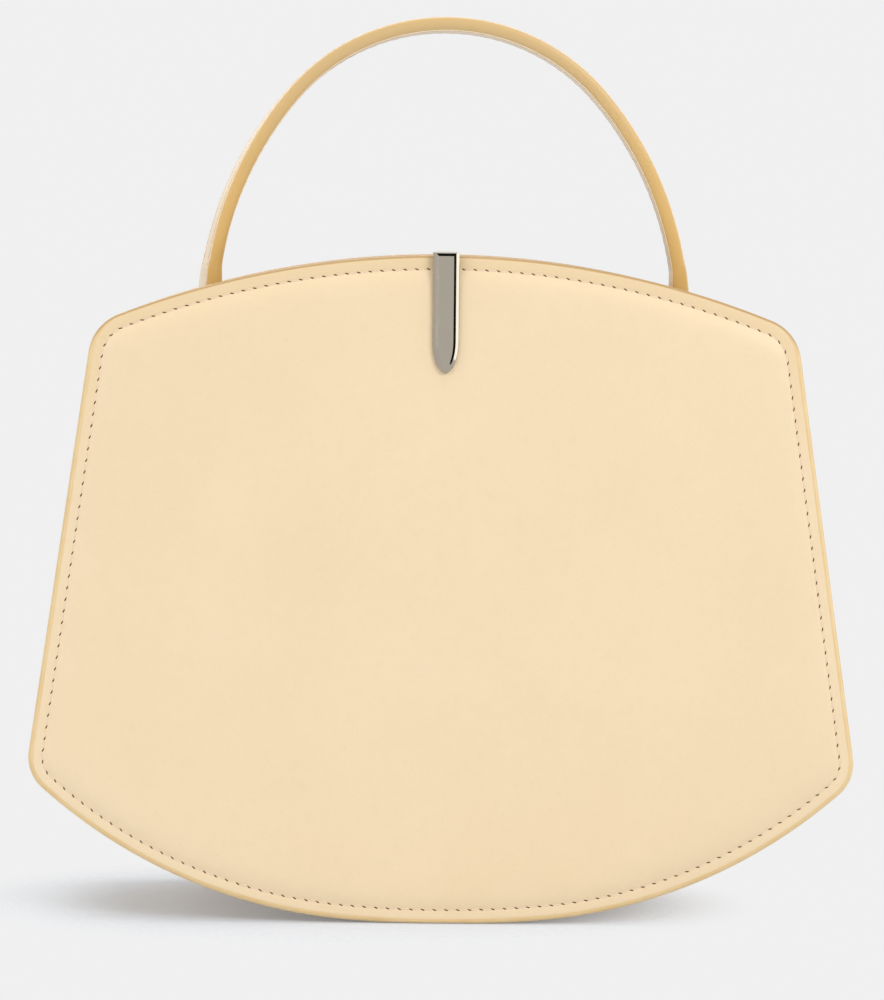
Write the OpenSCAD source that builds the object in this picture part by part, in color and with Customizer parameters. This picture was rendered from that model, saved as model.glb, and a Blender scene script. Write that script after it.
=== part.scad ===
// Structured leather bag with a top handle.
// Two stiff leaning panels close on a centre panel that carries the handle. Folding gussets
// join them, and a metal clasp swings over the top edge from the back panel to the front.
// Millimetres. +Z is up, the front faces -Y, and the origin is on the ground below the middle.

/* [Panel outline] */
// Width across the lower corners
base_w = 240; // [226:1:256]
// Width across the upper corners
top_w = 207; // [197:1:215]
// Height of a panel at its middle, along the panel
body_h = 196; // [188:1:204]
// Height of the lower corners
corner_z = 55; // [51:1:59]
// Radius of the arc of the top edge
top_arc_r = 261; // [240:1:290]
// Radius of the middle of the bottom edge
base_arc_r = 333; // [300:1:360]
// Angle that the middle arc of the bottom edge takes on each side
base_arc_half = 5; // [4:0.5:8]
// Radius of the outer arcs of the bottom edge
side_arc_r = 153; // [147:1:159]
// Rounding of the upper corners
top_corner_r = 14; // [10:0.5:18]
// Rounding of the lower corners
low_corner_r = 12; // [9:0.5:15]

/* [Body] */
// Depth of the bag on the ground, outside to outside
body_d = 80; // [72:1:92]
// Lean of the front and back panels towards the middle
lean = 5; // [4:0.25:6]
// How deep the bottom edge is pressed flat where the bag stands
stand_flat = 0.3; // [0.2:0.05:0.5]

/* [Panel layers] */
// Thickness of the outer leather
skin_t = 1.2; // [1:0.1:1.4]
// Rise of the padded middle over the sewn border
pad_rise = 1.2; // [0.8:0.1:1.5]
// Thickness of the stiffener in the front and back panels
board_t = 1.4; // [1:0.1:2]
// Thickness of the lining leather
lining_t = 1; // [0.8:0.1:1.4]
// How far the stiffener stops short of the painted edge
board_inset = 0.8; // [0.6:0.1:1.2]
// Rounding of the painted outer edge
edge_r = 1.8; // [1.4:0.1:2]
// Distance of the seam from the edge
seam_inset = 3.9; // [3.4:0.1:4.4]
// Width over which the padding rises behind the seam
pad_slope_w = 5; // [3:0.5:7]

/* [Centre panel] */
// Thickness of the centre stiffener
centre_board_t = 1.6; // [1.4:0.1:2]
// Thickness of each centre leather
centre_skin_t = 1.2; // [1:0.1:1.4]
// How far the centre panel's sides and bottom lie inside the outline
centre_inset = 3; // [2.5:0.1:3.6]
// How much lower the centre panel's top edge lies
centre_drop = 6; // [5:0.5:8]

/* [Gussets] */
// Thickness of the lined gusset leather
gusset_t = 1.4; // [1:0.1:1.6]
// How far the gusset's wall lies inside the outline
gusset_inset = 7.5; // [7:0.25:9]
// How far the sewn flange stops short of the edge
flange_inset = 1; // [0.8:0.1:1.4]
// Height at which the gussets begin to fold inwards
fold_from_z = 15; // [10:1:24]

/* [Handle] */
// Height of the handle's highest point over the ground
handle_top_z = 265; // [261:1:271]
// Width of the strap
strap_w = 15; // [13:0.5:17]
// Thickness of the strap
strap_t = 4; // [3.6:0.1:4.6]
// Outer radius of the crown of the arch
crown_r = 62.5; // [60:0.5:65]
// Angle from the top at which the crown turns into the legs
crown_half = 49; // [46:1:52]
// Outer radius of the legs
leg_r = 104; // [98:1:110]
// Angle from the top at which the core turns down
leg_end = 80; // [78:0.5:82]
// Radius of the bend that turns the core down
foot_bend_r = 20; // [16:1:26]
// Width of the steel core
core_w = 12; // [10:0.5:12.5]
// Thickness of the steel core
core_t = 1.2; // [1:0.1:1.4]
// Height of the handle's pivots
pivot_z = 172; // [170:0.5:174]
// Length of the leather foot over the pivot
foot_end_up = 8; // [7:0.5:9]
// Angle at which the core's square heel stops the handle, each way
heel_stop = 16; // [14:0.5:18]

/* [Handle anchors] */
// Diameter of the pivot pin
pivot_d = 3; // [2.5:0.1:3.4]
// Thickness of the anchor's lug
lug_t = 1.5; // [1.2:0.1:1.7]
// Width of the anchor's tang
tang_w = 24; // [21:1:27]
// Height of the anchor's tang
tang_h = 24; // [21:1:27]
// Diameter of the rivets
rivet_d = 3; // [2.4:0.1:3.4]
// Diameter of the rivet heads
rivet_head_d = 6; // [5:0.2:7]
// Height of the rivet heads
rivet_head_t = 0.8; // [0.6:0.1:1]

/* [Clasp] */
// Width of the clasp
clasp_w = 7.8; // [7:0.1:8.6]
// Length of the tongue below the top of the clasp
tongue_l = 35.5; // [34:0.5:37]
// Thickness of the tongue and of the back plate
tongue_t = 1.9; // [1.7:0.1:2.2]
// Height of the tongue's rounded end
tongue_end_l = 9.5; // [7:0.5:11]
// Bevel along the tongue's front edges
tongue_bevel = 0.6; // [0.4:0.1:0.8]
// Thickness of the bar over the top
bar_t = 0.8; // [0.75:0.05:1]
// Width of the bar where it leaves the tongue
bar_w = 7.3; // [6.4:0.1:7.6]
// Width of the hinge
hinge_w = 4.2; // [4:0.1:5]
// Outer radius of the hinge knuckles
knuckle_r = 1.6; // [1.5:0.05:1.8]
// Radius of the hinge pin
clasp_pin_r = 0.75; // [0.6:0.05:0.85]
// Width of the middle knuckle
mid_knuckle_w = 1.8; // [1.6:0.1:2]
// Diameter of the magnet in the tongue
magnet_d = 4.6; // [4:0.1:5]
// Thickness of the magnet
magnet_t = 1; // [0.8:0.1:1.1]
// Height of the magnet over the tongue's tip
magnet_up = 10; // [9:0.5:12]
// Diameter of the keeper disc under the front leather
keeper_d = 8; // [7:0.5:10]
// Thickness of the keeper disc
keeper_t = 0.6; // [0.5:0.05:0.7]
// Spacing of the clasp screws
screw_pitch = 14; // [12:0.5:16]
// Distance of the upper clasp screw below the panel's top edge
screw_drop = 8; // [7.5:0.5:10]
// Diameter of the clasp screws
screw_d = 1.8; // [1.6:0.1:2]
// Diameter of the screw heads
screw_head_d = 3.6; // [3.2:0.1:4.2]
// Height of the screw heads
screw_head_t = 0.8; // [0.6:0.1:1]
// Depth to which a screw enters the back plate
screw_grip = 1.2; // [1:0.1:1.3]
// Thickness of the backing plate inside the back panel
backing_t = 0.8; // [0.6:0.1:1]
// Margin of the backing plate round its screws
backing_margin = 5; // [4:0.5:6]

/* [Slip pocket] */
// Width of the pocket
pocket_w = 104; // [80:1:116]
// Height of the pocket
pocket_h = 66; // [50:1:80]
// Height of the pocket's bottom edge
pocket_z = 62; // [50:1:70]
// Thickness of the pocket's leather
pocket_t = 1; // [0.8:0.1:1.2]
// Rounding of the pocket's lower corners
pocket_r = 12; // [8:1:16]

/* [Hidden] */
$fn = 48;

// Clearances
soft_gap = 0.3;     // between soft pieces on different bodies
bar_gap = 0.15;     // between the panels' top edges and the clasp's bar
run_gap = 0.05;     // round a running pin, and of the knuckles under the bar's top
side_gap = 0.15;    // beside hinge knuckles and lugs
swing_gap = 0.25;   // round a knuckle that swings
cut_over = 1;       // overrun of a cut
small_r = 1;        // least rounding of an inset corner

// Shares of the padding's slope: of its width from the seam, and of its rise there
pad_shares = [[1, 1], [1 / 2, 3 / 4], [1 / 6, 1 / 3], [0, 0]];
// Share of the anchor's tang between its edges and the rivets
rivet_share = 1 / 3;
// Share of the foot's flare that the bend over it already has
flare_share = 1 / 3;

// Steps of the outline's stretches
base_steps = 7;
arc_steps = 10;
corner_steps = 5;
side_steps = 6;
top_steps = 14;
bend_steps = 5;
crown_steps = 16;
leg_steps = 6;
round_steps = 3;
tongue_steps = 18;

// Panel build-up, from the border's outer face inwards
panel_t = skin_t + board_t + lining_t;
half_d = body_d / 2;
centre_t = centre_board_t + centre_skin_t * 2;
cavity_inset = seam_inset + skin_t * 2;
pad_floor = skin_t - pad_rise;

// Straight side of the outline, as an angle from upright and a distance from the origin
top_corner_z = body_h - top_arc_r + sqrt(pow(top_arc_r, 2) - pow(top_w / 2, 2));
side_ang = atan2((base_w - top_w) / 2, top_corner_z - corner_z);
side_n = [cos(side_ang), sin(side_ang)];
side_up = [-sin(side_ang), cos(side_ang)];
side_c = side_n * [base_w / 2, corner_z];
side_centre = [
    (base_arc_r - side_arc_r) * sin(base_arc_half),
    base_arc_r - (base_arc_r - side_arc_r) * cos(base_arc_half)
];
side_start_k = base_steps + arc_steps + corner_steps;
side_end_k = side_start_k + side_steps;

// Handle path, measured to the middle of the core
crown_mid_r = crown_r - strap_t / 2;
leg_mid_r = leg_r - strap_t / 2;
crown_c = [0, handle_top_z - crown_r];
leg_c = crown_c - (leg_mid_r - crown_mid_r) * [sin(crown_half), cos(crown_half)];
bend_c = leg_c + (leg_mid_r - foot_bend_r) * [sin(leg_end), cos(leg_end)];
leg_x = bend_c[0] + foot_bend_r;
foot_end_z = pivot_z + foot_end_up;
lug_x = leg_x + core_t / 2 + side_gap;
foot_spread = lug_t + side_gap * 2;
notch_w = strap_t + foot_spread + 2 * side_gap;
notch_x = leg_x - strap_t / 2 - side_gap * 2;
notch_z = pivot_z - core_w / 2 - lug_t;
floor_t = lug_t / 2;
heel_room = pivot_z - notch_z - floor_t;
heel_z = pivot_z - (heel_room - core_w / 2 * sin(heel_stop)) / cos(heel_stop);
tang_top_z = notch_z - lug_t;
tang_x = lug_x + lug_t / 2;

// Clasp
bar_z = body_h * cos(lean) - edge_r * sin(lean) - stand_flat + bar_gap;
clasp_top_z = bar_z + bar_t;
tongue_y = -pad_rise - soft_gap;
hinge_z = clasp_top_z - knuckle_r - run_gap;
hinge_out = knuckle_r + soft_gap;
hinge_up = (hinge_z + stand_flat - hinge_out * sin(lean)) / cos(lean);
hinge_y = half_d + hinge_out * cos(lean) - hinge_up * sin(lean);
slot_r = norm([pad_rise + tongue_t - hinge_out, knuckle_r + swing_gap]) + side_gap;
tongue_top = (clasp_top_z + stand_flat + tongue_y * sin(lean)) / cos(lean);
tip_z = tongue_top - tongue_l;
bar_end_w = hinge_w - 2 * side_gap;
bar_end_y = hinge_y - side_gap;

leather_colour = [0.96, 0.87, 0.71];
lining_colour = [0.9, 0.79, 0.6];
board_colour = [0.55, 0.5, 0.42];
foam_colour = [0.93, 0.93, 0.9];
steel_colour = [0.66, 0.64, 0.6];

// Unit vector at an angle from +X
function dir(a) = [cos(a), sin(a)];

function mix(a, b, f) = a * (1 - f) + b * f;

// Centre of a corner rounding of radius f that touches an arc and the straight side.
// up is 1 for the upper corner and -1 for the lower one.
function corner_centre(arc_c, arc_r, inset, f, up) =
    let (q = side_c - inset - f - side_n * arc_c, reach = arc_r - inset - f)
    arc_c + q * side_n + up * sqrt(pow(reach, 2) - pow(q, 2)) * side_up;

// Angle from one point to another
function heading(a, b) = atan2(b[1] - a[1], b[0] - a[0]);

// Right half of the outline, from the middle of the bottom to the middle of the top,
// drawn inset from the panel's edge, with the top edge lower by drop.
function half_outline(inset, drop = 0) =
    let (
        low_r = max(low_corner_r - inset, small_r),
        top_r = max(top_corner_r - inset, small_r),
        top_c = [0, body_h - top_arc_r - drop],
        low_f = corner_centre(side_centre, side_arc_r, inset, low_r, -1),
        top_f = corner_centre(top_c, top_arc_r, inset, top_r, 1),
        arc_end = heading(side_centre, low_f),
        top_start = heading(top_c, top_f),
        arc_start = base_arc_half - 90,
        side_low = low_f + low_r * side_n,
        side_top = top_f + top_r * side_n
    )
    concat(
        [for (k = [0:base_steps])
            [0, base_arc_r] + (base_arc_r - inset) * dir(mix(-90, arc_start, k / base_steps))],
        [for (k = [1:arc_steps])
            side_centre + (side_arc_r - inset) * dir(mix(arc_start, arc_end, k / arc_steps))],
        [for (k = [1:corner_steps])
            low_f + low_r * dir(mix(arc_end, side_ang, k / corner_steps))],
        [for (k = [1:side_steps]) mix(side_low, side_top, k / side_steps)],
        [for (k = [1:corner_steps])
            top_f + top_r * dir(mix(side_ang, top_start, k / corner_steps))],
        [for (k = [1:top_steps])
            top_c + (top_arc_r - inset) * dir(mix(top_start, 90, k / top_steps))]
    );

function flip_x(p) = [-p[0], p[1]];

function outline(inset, drop = 0) =
    let (half = half_outline(inset, drop), n = len(half))
    concat(half, [for (k = [n - 2:-1:1]) flip_x(half[k])]);

// Point k of the outline: the right half from the bottom up, and the left half below zero
function edge_point(inset, k) =
    let (half = half_outline(inset)) k < 0 ? flip_x(half[-k]) : half[k];

// Places of a point of the leaning front panel and of the upright centre panel
function on_front(p, y) = [
    p[0],
    y * cos(lean) + p[1] * sin(lean) - half_d,
    p[1] * cos(lean) - y * sin(lean) - stand_flat
];

function on_centre(p, y) = [p[0], y, p[1] - stand_flat];

// Solid through a list of closed sections of equal length. caps lists the faces of an end.
module loft(sections, caps) {
    m = len(sections[0]);
    n = len(sections);
    last = (n - 1) * m;
    sides = [for (i = [0:n - 2], j = [0:m - 1])
        let (a = i * m + j, b = i * m + (j + 1) % m) each [[a, b, b + m], [a, b + m, a + m]]];
    near = [for (f = caps) [for (k = [len(f) - 1:-1:0]) f[k]]];
    far = [for (f = caps) [for (k = f) k + last]];
    polyhedron([for (s = sections) each s], concat(sides, near, far));
}

// Plate drawn through rings of [depth from the outer face, inset from the edge]
module ring_plate(rings) {
    sections = [for (r = rings) [for (p = outline(r[1])) [p[0], r[0], p[1]]]];
    loft(sections, [[for (k = [0:len(sections[0]) - 1]) k]]);
}

// Flat plate between two depths
module plate(inset, y_out, t, drop = 0) {
    translate([0, y_out + t, 0]) rotate([90, 0, 0]) linear_extrude(t) polygon(outline(inset, drop));
}

// Hole through a panel, along the panel's depth
module cross_hole(d, z, y_out, t) {
    translate([0, y_out - cut_over, z]) rotate([-90, 0, 0])
        cylinder(d = d, h = t + 2 * cut_over);
}

// Puts a piece drawn upright at the front panel's place
module at_front() {
    translate([0, -half_d, -stand_flat]) rotate([-lean, 0, 0]) children();
}

module at_back() {
    mirror([0, 1, 0]) at_front() children();
}

// Cuts away what lies below the ground
module stand_cut() {
    difference() {
        children();
        translate([-base_w, -body_d, -body_h]) cube([2 * base_w, 2 * body_d, body_h]);
    }
}

module screw_holes(y_out, t) {
    for (k = [0, 1])
        cross_hole(screw_d + 2 * run_gap, body_h - screw_drop - k * screw_pitch, y_out, t);
}

// Outer leather, raised over the padding and rounded at the painted edge
module skin() {
    rim = [for (k = [0:round_steps])
        let (a = k / round_steps * acos(1 - skin_t / edge_r))
        [edge_r * (1 - cos(a)), edge_r * (1 - sin(a))]];
    ring_plate(concat(
        [for (s = pad_shares) [-pad_rise * s[1], seam_inset + pad_slope_w * s[0]]],
        rim,
        [
            [skin_t, cavity_inset],
            [pad_floor, cavity_inset + pad_slope_w / 2]
        ]
    ));
}

module foam() {
    ring_plate([
        [pad_floor, cavity_inset + pad_slope_w / 2],
        [skin_t, cavity_inset]
    ]);
}

module front_leather() {
    color(leather_colour) stand_cut() at_front() skin();
}

module front_foam() {
    color(foam_colour) at_front() difference() {
        foam();
        cross_hole(keeper_d, tip_z + magnet_up, pad_floor, keeper_t - cut_over);
    }
}

module front_board() {
    color(board_colour) at_front() plate(board_inset, skin_t, board_t);
}

module front_lining() {
    color(lining_colour) stand_cut() at_front() plate(0, skin_t + board_t, lining_t);
}

module clasp_keeper() {
    color(steel_colour) at_front() translate([0, pad_floor, tip_z + magnet_up])
        rotate([-90, 0, 0]) cylinder(d = keeper_d, h = keeper_t);
}

module back_leather() {
    color(leather_colour) stand_cut() at_back() difference() {
        skin();
        screw_holes(-pad_rise, skin_t + pad_rise);
    }
}

module back_foam() {
    color(foam_colour) at_back() difference() {
        foam();
        screw_holes(pad_floor, pad_rise);
    }
}

module back_board() {
    color(board_colour) at_back() difference() {
        plate(board_inset, skin_t, board_t);
        screw_holes(skin_t, board_t);
    }
}

module back_lining() {
    color(lining_colour) stand_cut() at_back() difference() {
        plate(0, skin_t + board_t, lining_t);
        screw_holes(skin_t + board_t, lining_t);
    }
}

// Slots in the centre panel that the handle's feet and the anchors' lugs stand in
module foot_notches() {
    for (side = [0, 1]) mirror([side, 0, 0])
        translate([notch_x, -centre_t, notch_z]) cube([notch_w, 2 * centre_t, body_h]);
}

module rivet_places() {
    for (side = [0, 1], k = [-1, 1]) mirror([side, 0, 0])
        translate([tang_x + k * tang_w * rivet_share, 0, tang_top_z - tang_h * (1 - rivet_share)])
            rotate([-90, 0, 0]) children();
}

module rivet_holes() {
    rivet_places() cylinder(d = rivet_d, h = 2 * centre_t, center = true);
}

module centre_layer(inset, y_out, t) {
    difference() {
        translate([0, 0, -stand_flat]) plate(inset, y_out, t, centre_drop);
        foot_notches();
        rivet_holes();
    }
}

module centre_front_leather() {
    color(leather_colour) centre_layer(centre_inset, -centre_t / 2, centre_skin_t);
}

module centre_back_leather() {
    color(leather_colour) centre_layer(centre_inset, centre_board_t / 2, centre_skin_t);
}

module centre_board() {
    color(board_colour) difference() {
        centre_layer(centre_inset + board_inset, -centre_board_t / 2, centre_board_t);
        for (side = [0, 1]) mirror([side, 0, 0])
            translate([tang_x - tang_w / 2 - run_gap, -centre_t, tang_top_z - tang_h - run_gap])
                cube([tang_w + 2 * run_gap, 2 * centre_t, tang_h + notch_z - tang_top_z + run_gap]);
    }
}

// Width of the space between the front panel and the centre panel at a height
function bay_w(z) = half_d - centre_t / 2 - panel_t - soft_gap - z * tan(lean);

// Depth of the gusset's inward fold: its flat width stays that of the space where it begins
function fold_depth(z) = sqrt(max(0, pow(bay_w(fold_from_z) / 2, 2) - pow(bay_w(z) / 2, 2)));

// Section of the front gusset at outline point k, from the panel's flange to the centre's
function gusset_section(k) =
    let (
        z = edge_point(gusset_inset, k)[1],
        v = fold_depth(z),
        y_in = panel_t + soft_gap,
        tip = gusset_inset + v,
        fold = function (inset)
            let (p = edge_point(inset, k))
            mix(on_front(p, y_in), on_centre(p, -centre_t / 2), 1 / 2),
        slant = gusset_t * sqrt(1 + pow(v / bay_w(z) * 2, 2)),
        flange = edge_point(flange_inset, k),
        wall = edge_point(gusset_inset, k),
        inner = edge_point(gusset_inset + gusset_t, k),
        rim = edge_point(centre_inset + board_inset, k)
    )
    [
        on_front(flange, y_in),
        on_front(flange, y_in + gusset_t),
        on_front(wall, y_in + gusset_t),
        fold(tip),
        on_centre(wall, -centre_t / 2 - gusset_t),
        on_centre(rim, -centre_t / 2 - gusset_t),
        on_centre(rim, -centre_t / 2),
        on_centre(inner, -centre_t / 2),
        fold(tip + slant),
        on_front(inner, y_in)
    ];

module gusset(stations) {
    caps = [[9, 0, 1], [9, 1, 2], [9, 2, 3], [9, 3, 8], [8, 3, 4], [8, 4, 7], [7, 4, 5], [7, 5, 6]];
    loft([for (k = stations) gusset_section(k)], caps);
}

module gusset_right() {
    gusset([side_end_k:-1:side_start_k]);
}

module gusset_left() {
    gusset([-side_start_k:-1:-side_end_k]);
}

module base_strip() {
    gusset([side_start_k:-1:-side_start_k]);
}

module front_gusset_left() {
    color(leather_colour) gusset_left();
}

module front_gusset_right() {
    color(leather_colour) gusset_right();
}

module front_base() {
    color(leather_colour) base_strip();
}

module back_gusset_left() {
    color(leather_colour) mirror([0, 1, 0]) gusset_left();
}

module back_gusset_right() {
    color(leather_colour) mirror([0, 1, 0]) gusset_right();
}

module back_base() {
    color(leather_colour) mirror([0, 1, 0]) base_strip();
}

// Right half of the handle's path at a distance outside the core's middle, from the top down
function handle_path(off, end_z, spread = 0) = concat(
    [for (k = [0:crown_steps])
        let (a = crown_half * k / crown_steps) crown_c + (crown_mid_r + off) * [sin(a), cos(a)]],
    [for (k = [1:leg_steps])
        let (a = mix(crown_half, leg_end, k / leg_steps))
        leg_c + (leg_mid_r + off) * [sin(a), cos(a)]],
    [for (k = [1:bend_steps])
        let (a = mix(leg_end, 90, k / bend_steps), s = spread * flare_share * k / bend_steps)
        bend_c + (foot_bend_r + off + s) * [sin(a), cos(a)]],
    [[leg_x + off + spread, end_z]]
);

// Arched band between two distances from the core's middle
module arch(off_in, off_out, w, end_z, spread_in = 0, spread_out = 0) {
    outer = handle_path(off_out, end_z, spread_out);
    inner = handle_path(off_in, end_z, spread_in);
    n = len(outer);
    points = concat(
        [for (k = [n - 1:-1:1]) flip_x(outer[k])], outer,
        [for (k = [n - 1:-1:1]) inner[k]], [for (k = [0:n - 1]) flip_x(inner[k])]
    );
    translate([0, w / 2, 0]) rotate([90, 0, 0]) linear_extrude(w) polygon(points);
}

module core_band(w, gap) {
    arch(-core_t / 2 - gap, core_t / 2 + gap, w + 2 * gap, notch_z);
}

module handle_outer_leather() {
    color(leather_colour) difference() {
        arch(0, strap_t / 2, strap_w, foot_end_z, 0, foot_spread);
        core_band(core_w, 0);
    }
}

module handle_inner_leather() {
    color(leather_colour) difference() {
        arch(-strap_t / 2, 0, strap_w, foot_end_z);
        core_band(core_w, 0);
    }
}

module pivot_axis(d, h, x) {
    translate([x, 0, pivot_z]) rotate([0, 90, 0]) cylinder(d = d, h = h);
}

// Steel band of the handle, whose square ends stop it against the anchors' floors
module handle_core() {
    color(steel_colour) difference() {
        arch(-core_t / 2, core_t / 2, core_w, heel_z);
        for (side = [0, 1]) mirror([side, 0, 0])
            pivot_axis(pivot_d + 2 * run_gap, core_t + 2 * cut_over, leg_x - core_t / 2 - cut_over);
    }
}

// Anchor: an upright lug beside the core's end, and a flat tang between the centre leathers
module handle_anchor() {
    difference() {
        union() {
            pivot_axis(core_w, lug_t, lug_x);
            translate([lug_x, -core_w / 2, notch_z + lug_t])
                cube([lug_t, core_w, pivot_z - notch_z - lug_t]);
            translate([notch_x + side_gap, -core_w / 2, notch_z])
                cube([lug_x + lug_t - notch_x - side_gap, core_w, floor_t]);
            translate([lug_x, -core_w / 2, notch_z]) cube([lug_t, core_w, 2 * lug_t]);
            translate([notch_x + side_gap, -centre_board_t / 2, tang_top_z - lug_t])
                cube([lug_x + lug_t - notch_x - side_gap, centre_board_t, notch_z - tang_top_z + 2 * lug_t]);
            translate([tang_x - tang_w / 2, -centre_board_t / 2, tang_top_z - tang_h])
                cube([tang_w, centre_board_t, tang_h]);
        }
        pivot_axis(pivot_d, lug_t + 2 * cut_over, lug_x - cut_over);
        rivet_holes();
    }
}

module handle_anchor_right() {
    color(steel_colour) handle_anchor();
}

module handle_anchor_left() {
    color(steel_colour) mirror([1, 0, 0]) handle_anchor();
}

module pivot_pins() {
    color(steel_colour) for (side = [0, 1]) mirror([side, 0, 0]) {
        pivot_axis(pivot_d, lug_x + lug_t - leg_x + core_t / 2 + side_gap, leg_x - core_t / 2 - side_gap);
        pivot_axis(pivot_d * 2, lug_t / 2, leg_x - core_t / 2 - side_gap - lug_t / 2);
    }
}

module anchor_rivets() {
    color(steel_colour) rivet_places() {
        cylinder(d = rivet_d, h = centre_t, center = true);
        for (m = [0, 1]) mirror([0, 0, m]) translate([0, 0, centre_t / 2])
            cylinder(d = rivet_head_d, h = rivet_head_t);
    }
}

// Tongue outline, upright, with its tip at the bottom, drawn smaller by inset
function tongue_outline(inset, top_z) = concat(
    [[clasp_w / 2 - inset, top_z], [-clasp_w / 2 + inset, top_z]],
    [for (k = [0:tongue_steps]) let (a = 180 + 180 * k / tongue_steps) [
        (clasp_w / 2 - inset) * cos(a),
        tip_z + tongue_end_l + (tongue_end_l - inset) * sin(a)
    ]]
);

// Tongue blade from depth y inwards, with bevelled front edges
module blade(y, top_z) {
    levels = [[y, tongue_bevel], [y + tongue_bevel, 0], [y + tongue_t, 0]];
    sections = [for (v = levels) [for (p = tongue_outline(v[1], top_z)) [p[0], v[0], p[1]]]];
    loft(sections, [[for (k = [0:len(sections[0]) - 1]) k]]);
}

module hinge_axis(r, w, x) {
    translate([x, hinge_y, hinge_z]) rotate([0, 90, 0]) cylinder(r = r, h = w);
}

// Clasp: a tongue on the front, a bar over the top and two hinge knuckles at the back
module clasp_arm() {
    bar_front = on_front([0, tongue_top], tongue_y - tongue_t / 2)[1];
    color(steel_colour) difference() {
        union() {
            difference() {
                union() {
                    at_front() blade(tongue_y - tongue_t, tongue_top + bar_t);
                    translate([0, 0, bar_z]) linear_extrude(2 * bar_t) polygon([
                        [-bar_w / 2, bar_front], [bar_w / 2, bar_front],
                        [bar_end_w / 2, bar_end_y], [-bar_end_w / 2, bar_end_y]
                    ]);
                }
                translate([-clasp_w, -body_d, clasp_top_z])
                    cube([2 * clasp_w, 2 * body_d, tongue_l]);
            }
            for (side = [0, 1]) mirror([side, 0, 0])
                hinge_axis(knuckle_r, (hinge_w - mid_knuckle_w) / 2, mid_knuckle_w / 2);
        }
        hinge_axis(clasp_pin_r, hinge_w + 2 * cut_over, -hinge_w / 2 - cut_over);
        hinge_axis(slot_r, mid_knuckle_w + 2 * side_gap, -mid_knuckle_w / 2 - side_gap);
        at_front() translate([0, tongue_y - magnet_t, tip_z + magnet_up]) rotate([-90, 0, 0])
            cylinder(d = magnet_d, h = magnet_t + cut_over);
    }
}

module clasp_magnet() {
    color(steel_colour) at_front() translate([0, tongue_y - magnet_t, tip_z + magnet_up])
        rotate([-90, 0, 0]) cylinder(d = magnet_d, h = magnet_t);
}

module clasp_pin() {
    color(steel_colour) hinge_axis(clasp_pin_r, hinge_w, -hinge_w / 2);
}

module clasp_hinge_plate() {
    shoulder_z = hinge_up - knuckle_r - swing_gap;
    color(steel_colour) difference() {
        union() {
            at_back() blade(-pad_rise - tongue_t, shoulder_z);
            at_back() translate([-mid_knuckle_w / 2, -pad_rise - tongue_t, shoulder_z - tongue_t])
                cube([mid_knuckle_w, tongue_t, tongue_t + knuckle_r + swing_gap]);
            hinge_axis(knuckle_r, mid_knuckle_w, -mid_knuckle_w / 2);
        }
        hinge_axis(clasp_pin_r + run_gap, mid_knuckle_w + 2 * cut_over, -mid_knuckle_w / 2 - cut_over);
        at_back() for (k = [0, 1])
            translate([0, -pad_rise - screw_grip, body_h - screw_drop - k * screw_pitch])
                rotate([-90, 0, 0]) cylinder(d = screw_d, h = screw_grip + cut_over);
    }
}

module clasp_backing_plate() {
    plate_w = screw_head_d + backing_margin;
    mid_z = body_h - screw_drop - screw_pitch / 2;
    color(steel_colour) at_back() difference() {
        translate([-plate_w / 2, panel_t, mid_z - screw_pitch / 2 - backing_margin])
            cube([plate_w, backing_t, screw_pitch + 2 * backing_margin]);
        screw_holes(panel_t, backing_t);
    }
}

module clasp_screws() {
    shank = screw_grip + pad_rise + panel_t + backing_t;
    color(steel_colour) at_back() for (k = [0, 1])
        translate([0, 0, body_h - screw_drop - k * screw_pitch]) rotate([-90, 0, 0]) {
            translate([0, 0, -pad_rise - screw_grip]) cylinder(d = screw_d, h = shank);
            translate([0, 0, panel_t + backing_t]) cylinder(d = screw_head_d, h = screw_head_t);
        }
}

module slip_pocket() {
    color(lining_colour) translate([0, centre_t / 2 + pocket_t, pocket_z]) rotate([90, 0, 0])
        linear_extrude(pocket_t) union() {
            translate([-pocket_w / 2, pocket_r]) square([pocket_w, pocket_h - pocket_r]);
            translate([-pocket_w / 2 + pocket_r, 0]) square([pocket_w - 2 * pocket_r, pocket_r]);
            for (side = [-1, 1]) translate([side * (pocket_w / 2 - pocket_r), pocket_r])
                circle(r = pocket_r);
        }
}

front_leather();
front_foam();
front_board();
front_lining();
clasp_keeper();
back_leather();
back_foam();
back_board();
back_lining();
centre_front_leather();
centre_board();
centre_back_leather();
front_gusset_left();
front_gusset_right();
front_base();
back_gusset_left();
back_gusset_right();
back_base();
handle_outer_leather();
handle_inner_leather();
handle_core();
handle_anchor_left();
handle_anchor_right();
pivot_pins();
anchor_rivets();
clasp_arm();
clasp_pin();
clasp_magnet();
clasp_hinge_plate();
clasp_backing_plate();
clasp_screws();
slip_pocket();
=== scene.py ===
"""A structured leather handbag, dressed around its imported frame.

Padded panels with painted edges and sewn borders lean against a centre panel with an arched
handle. Shapes are worked out in millimetres, as in the part's source, and made in metres.
"""
import logging
import math
from dataclasses import dataclass, field
from enum import Enum
from typing import Any, Sequence, Union

import bmesh
import bpy
import numpy as np
from mathutils import Matrix, Vector


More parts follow.
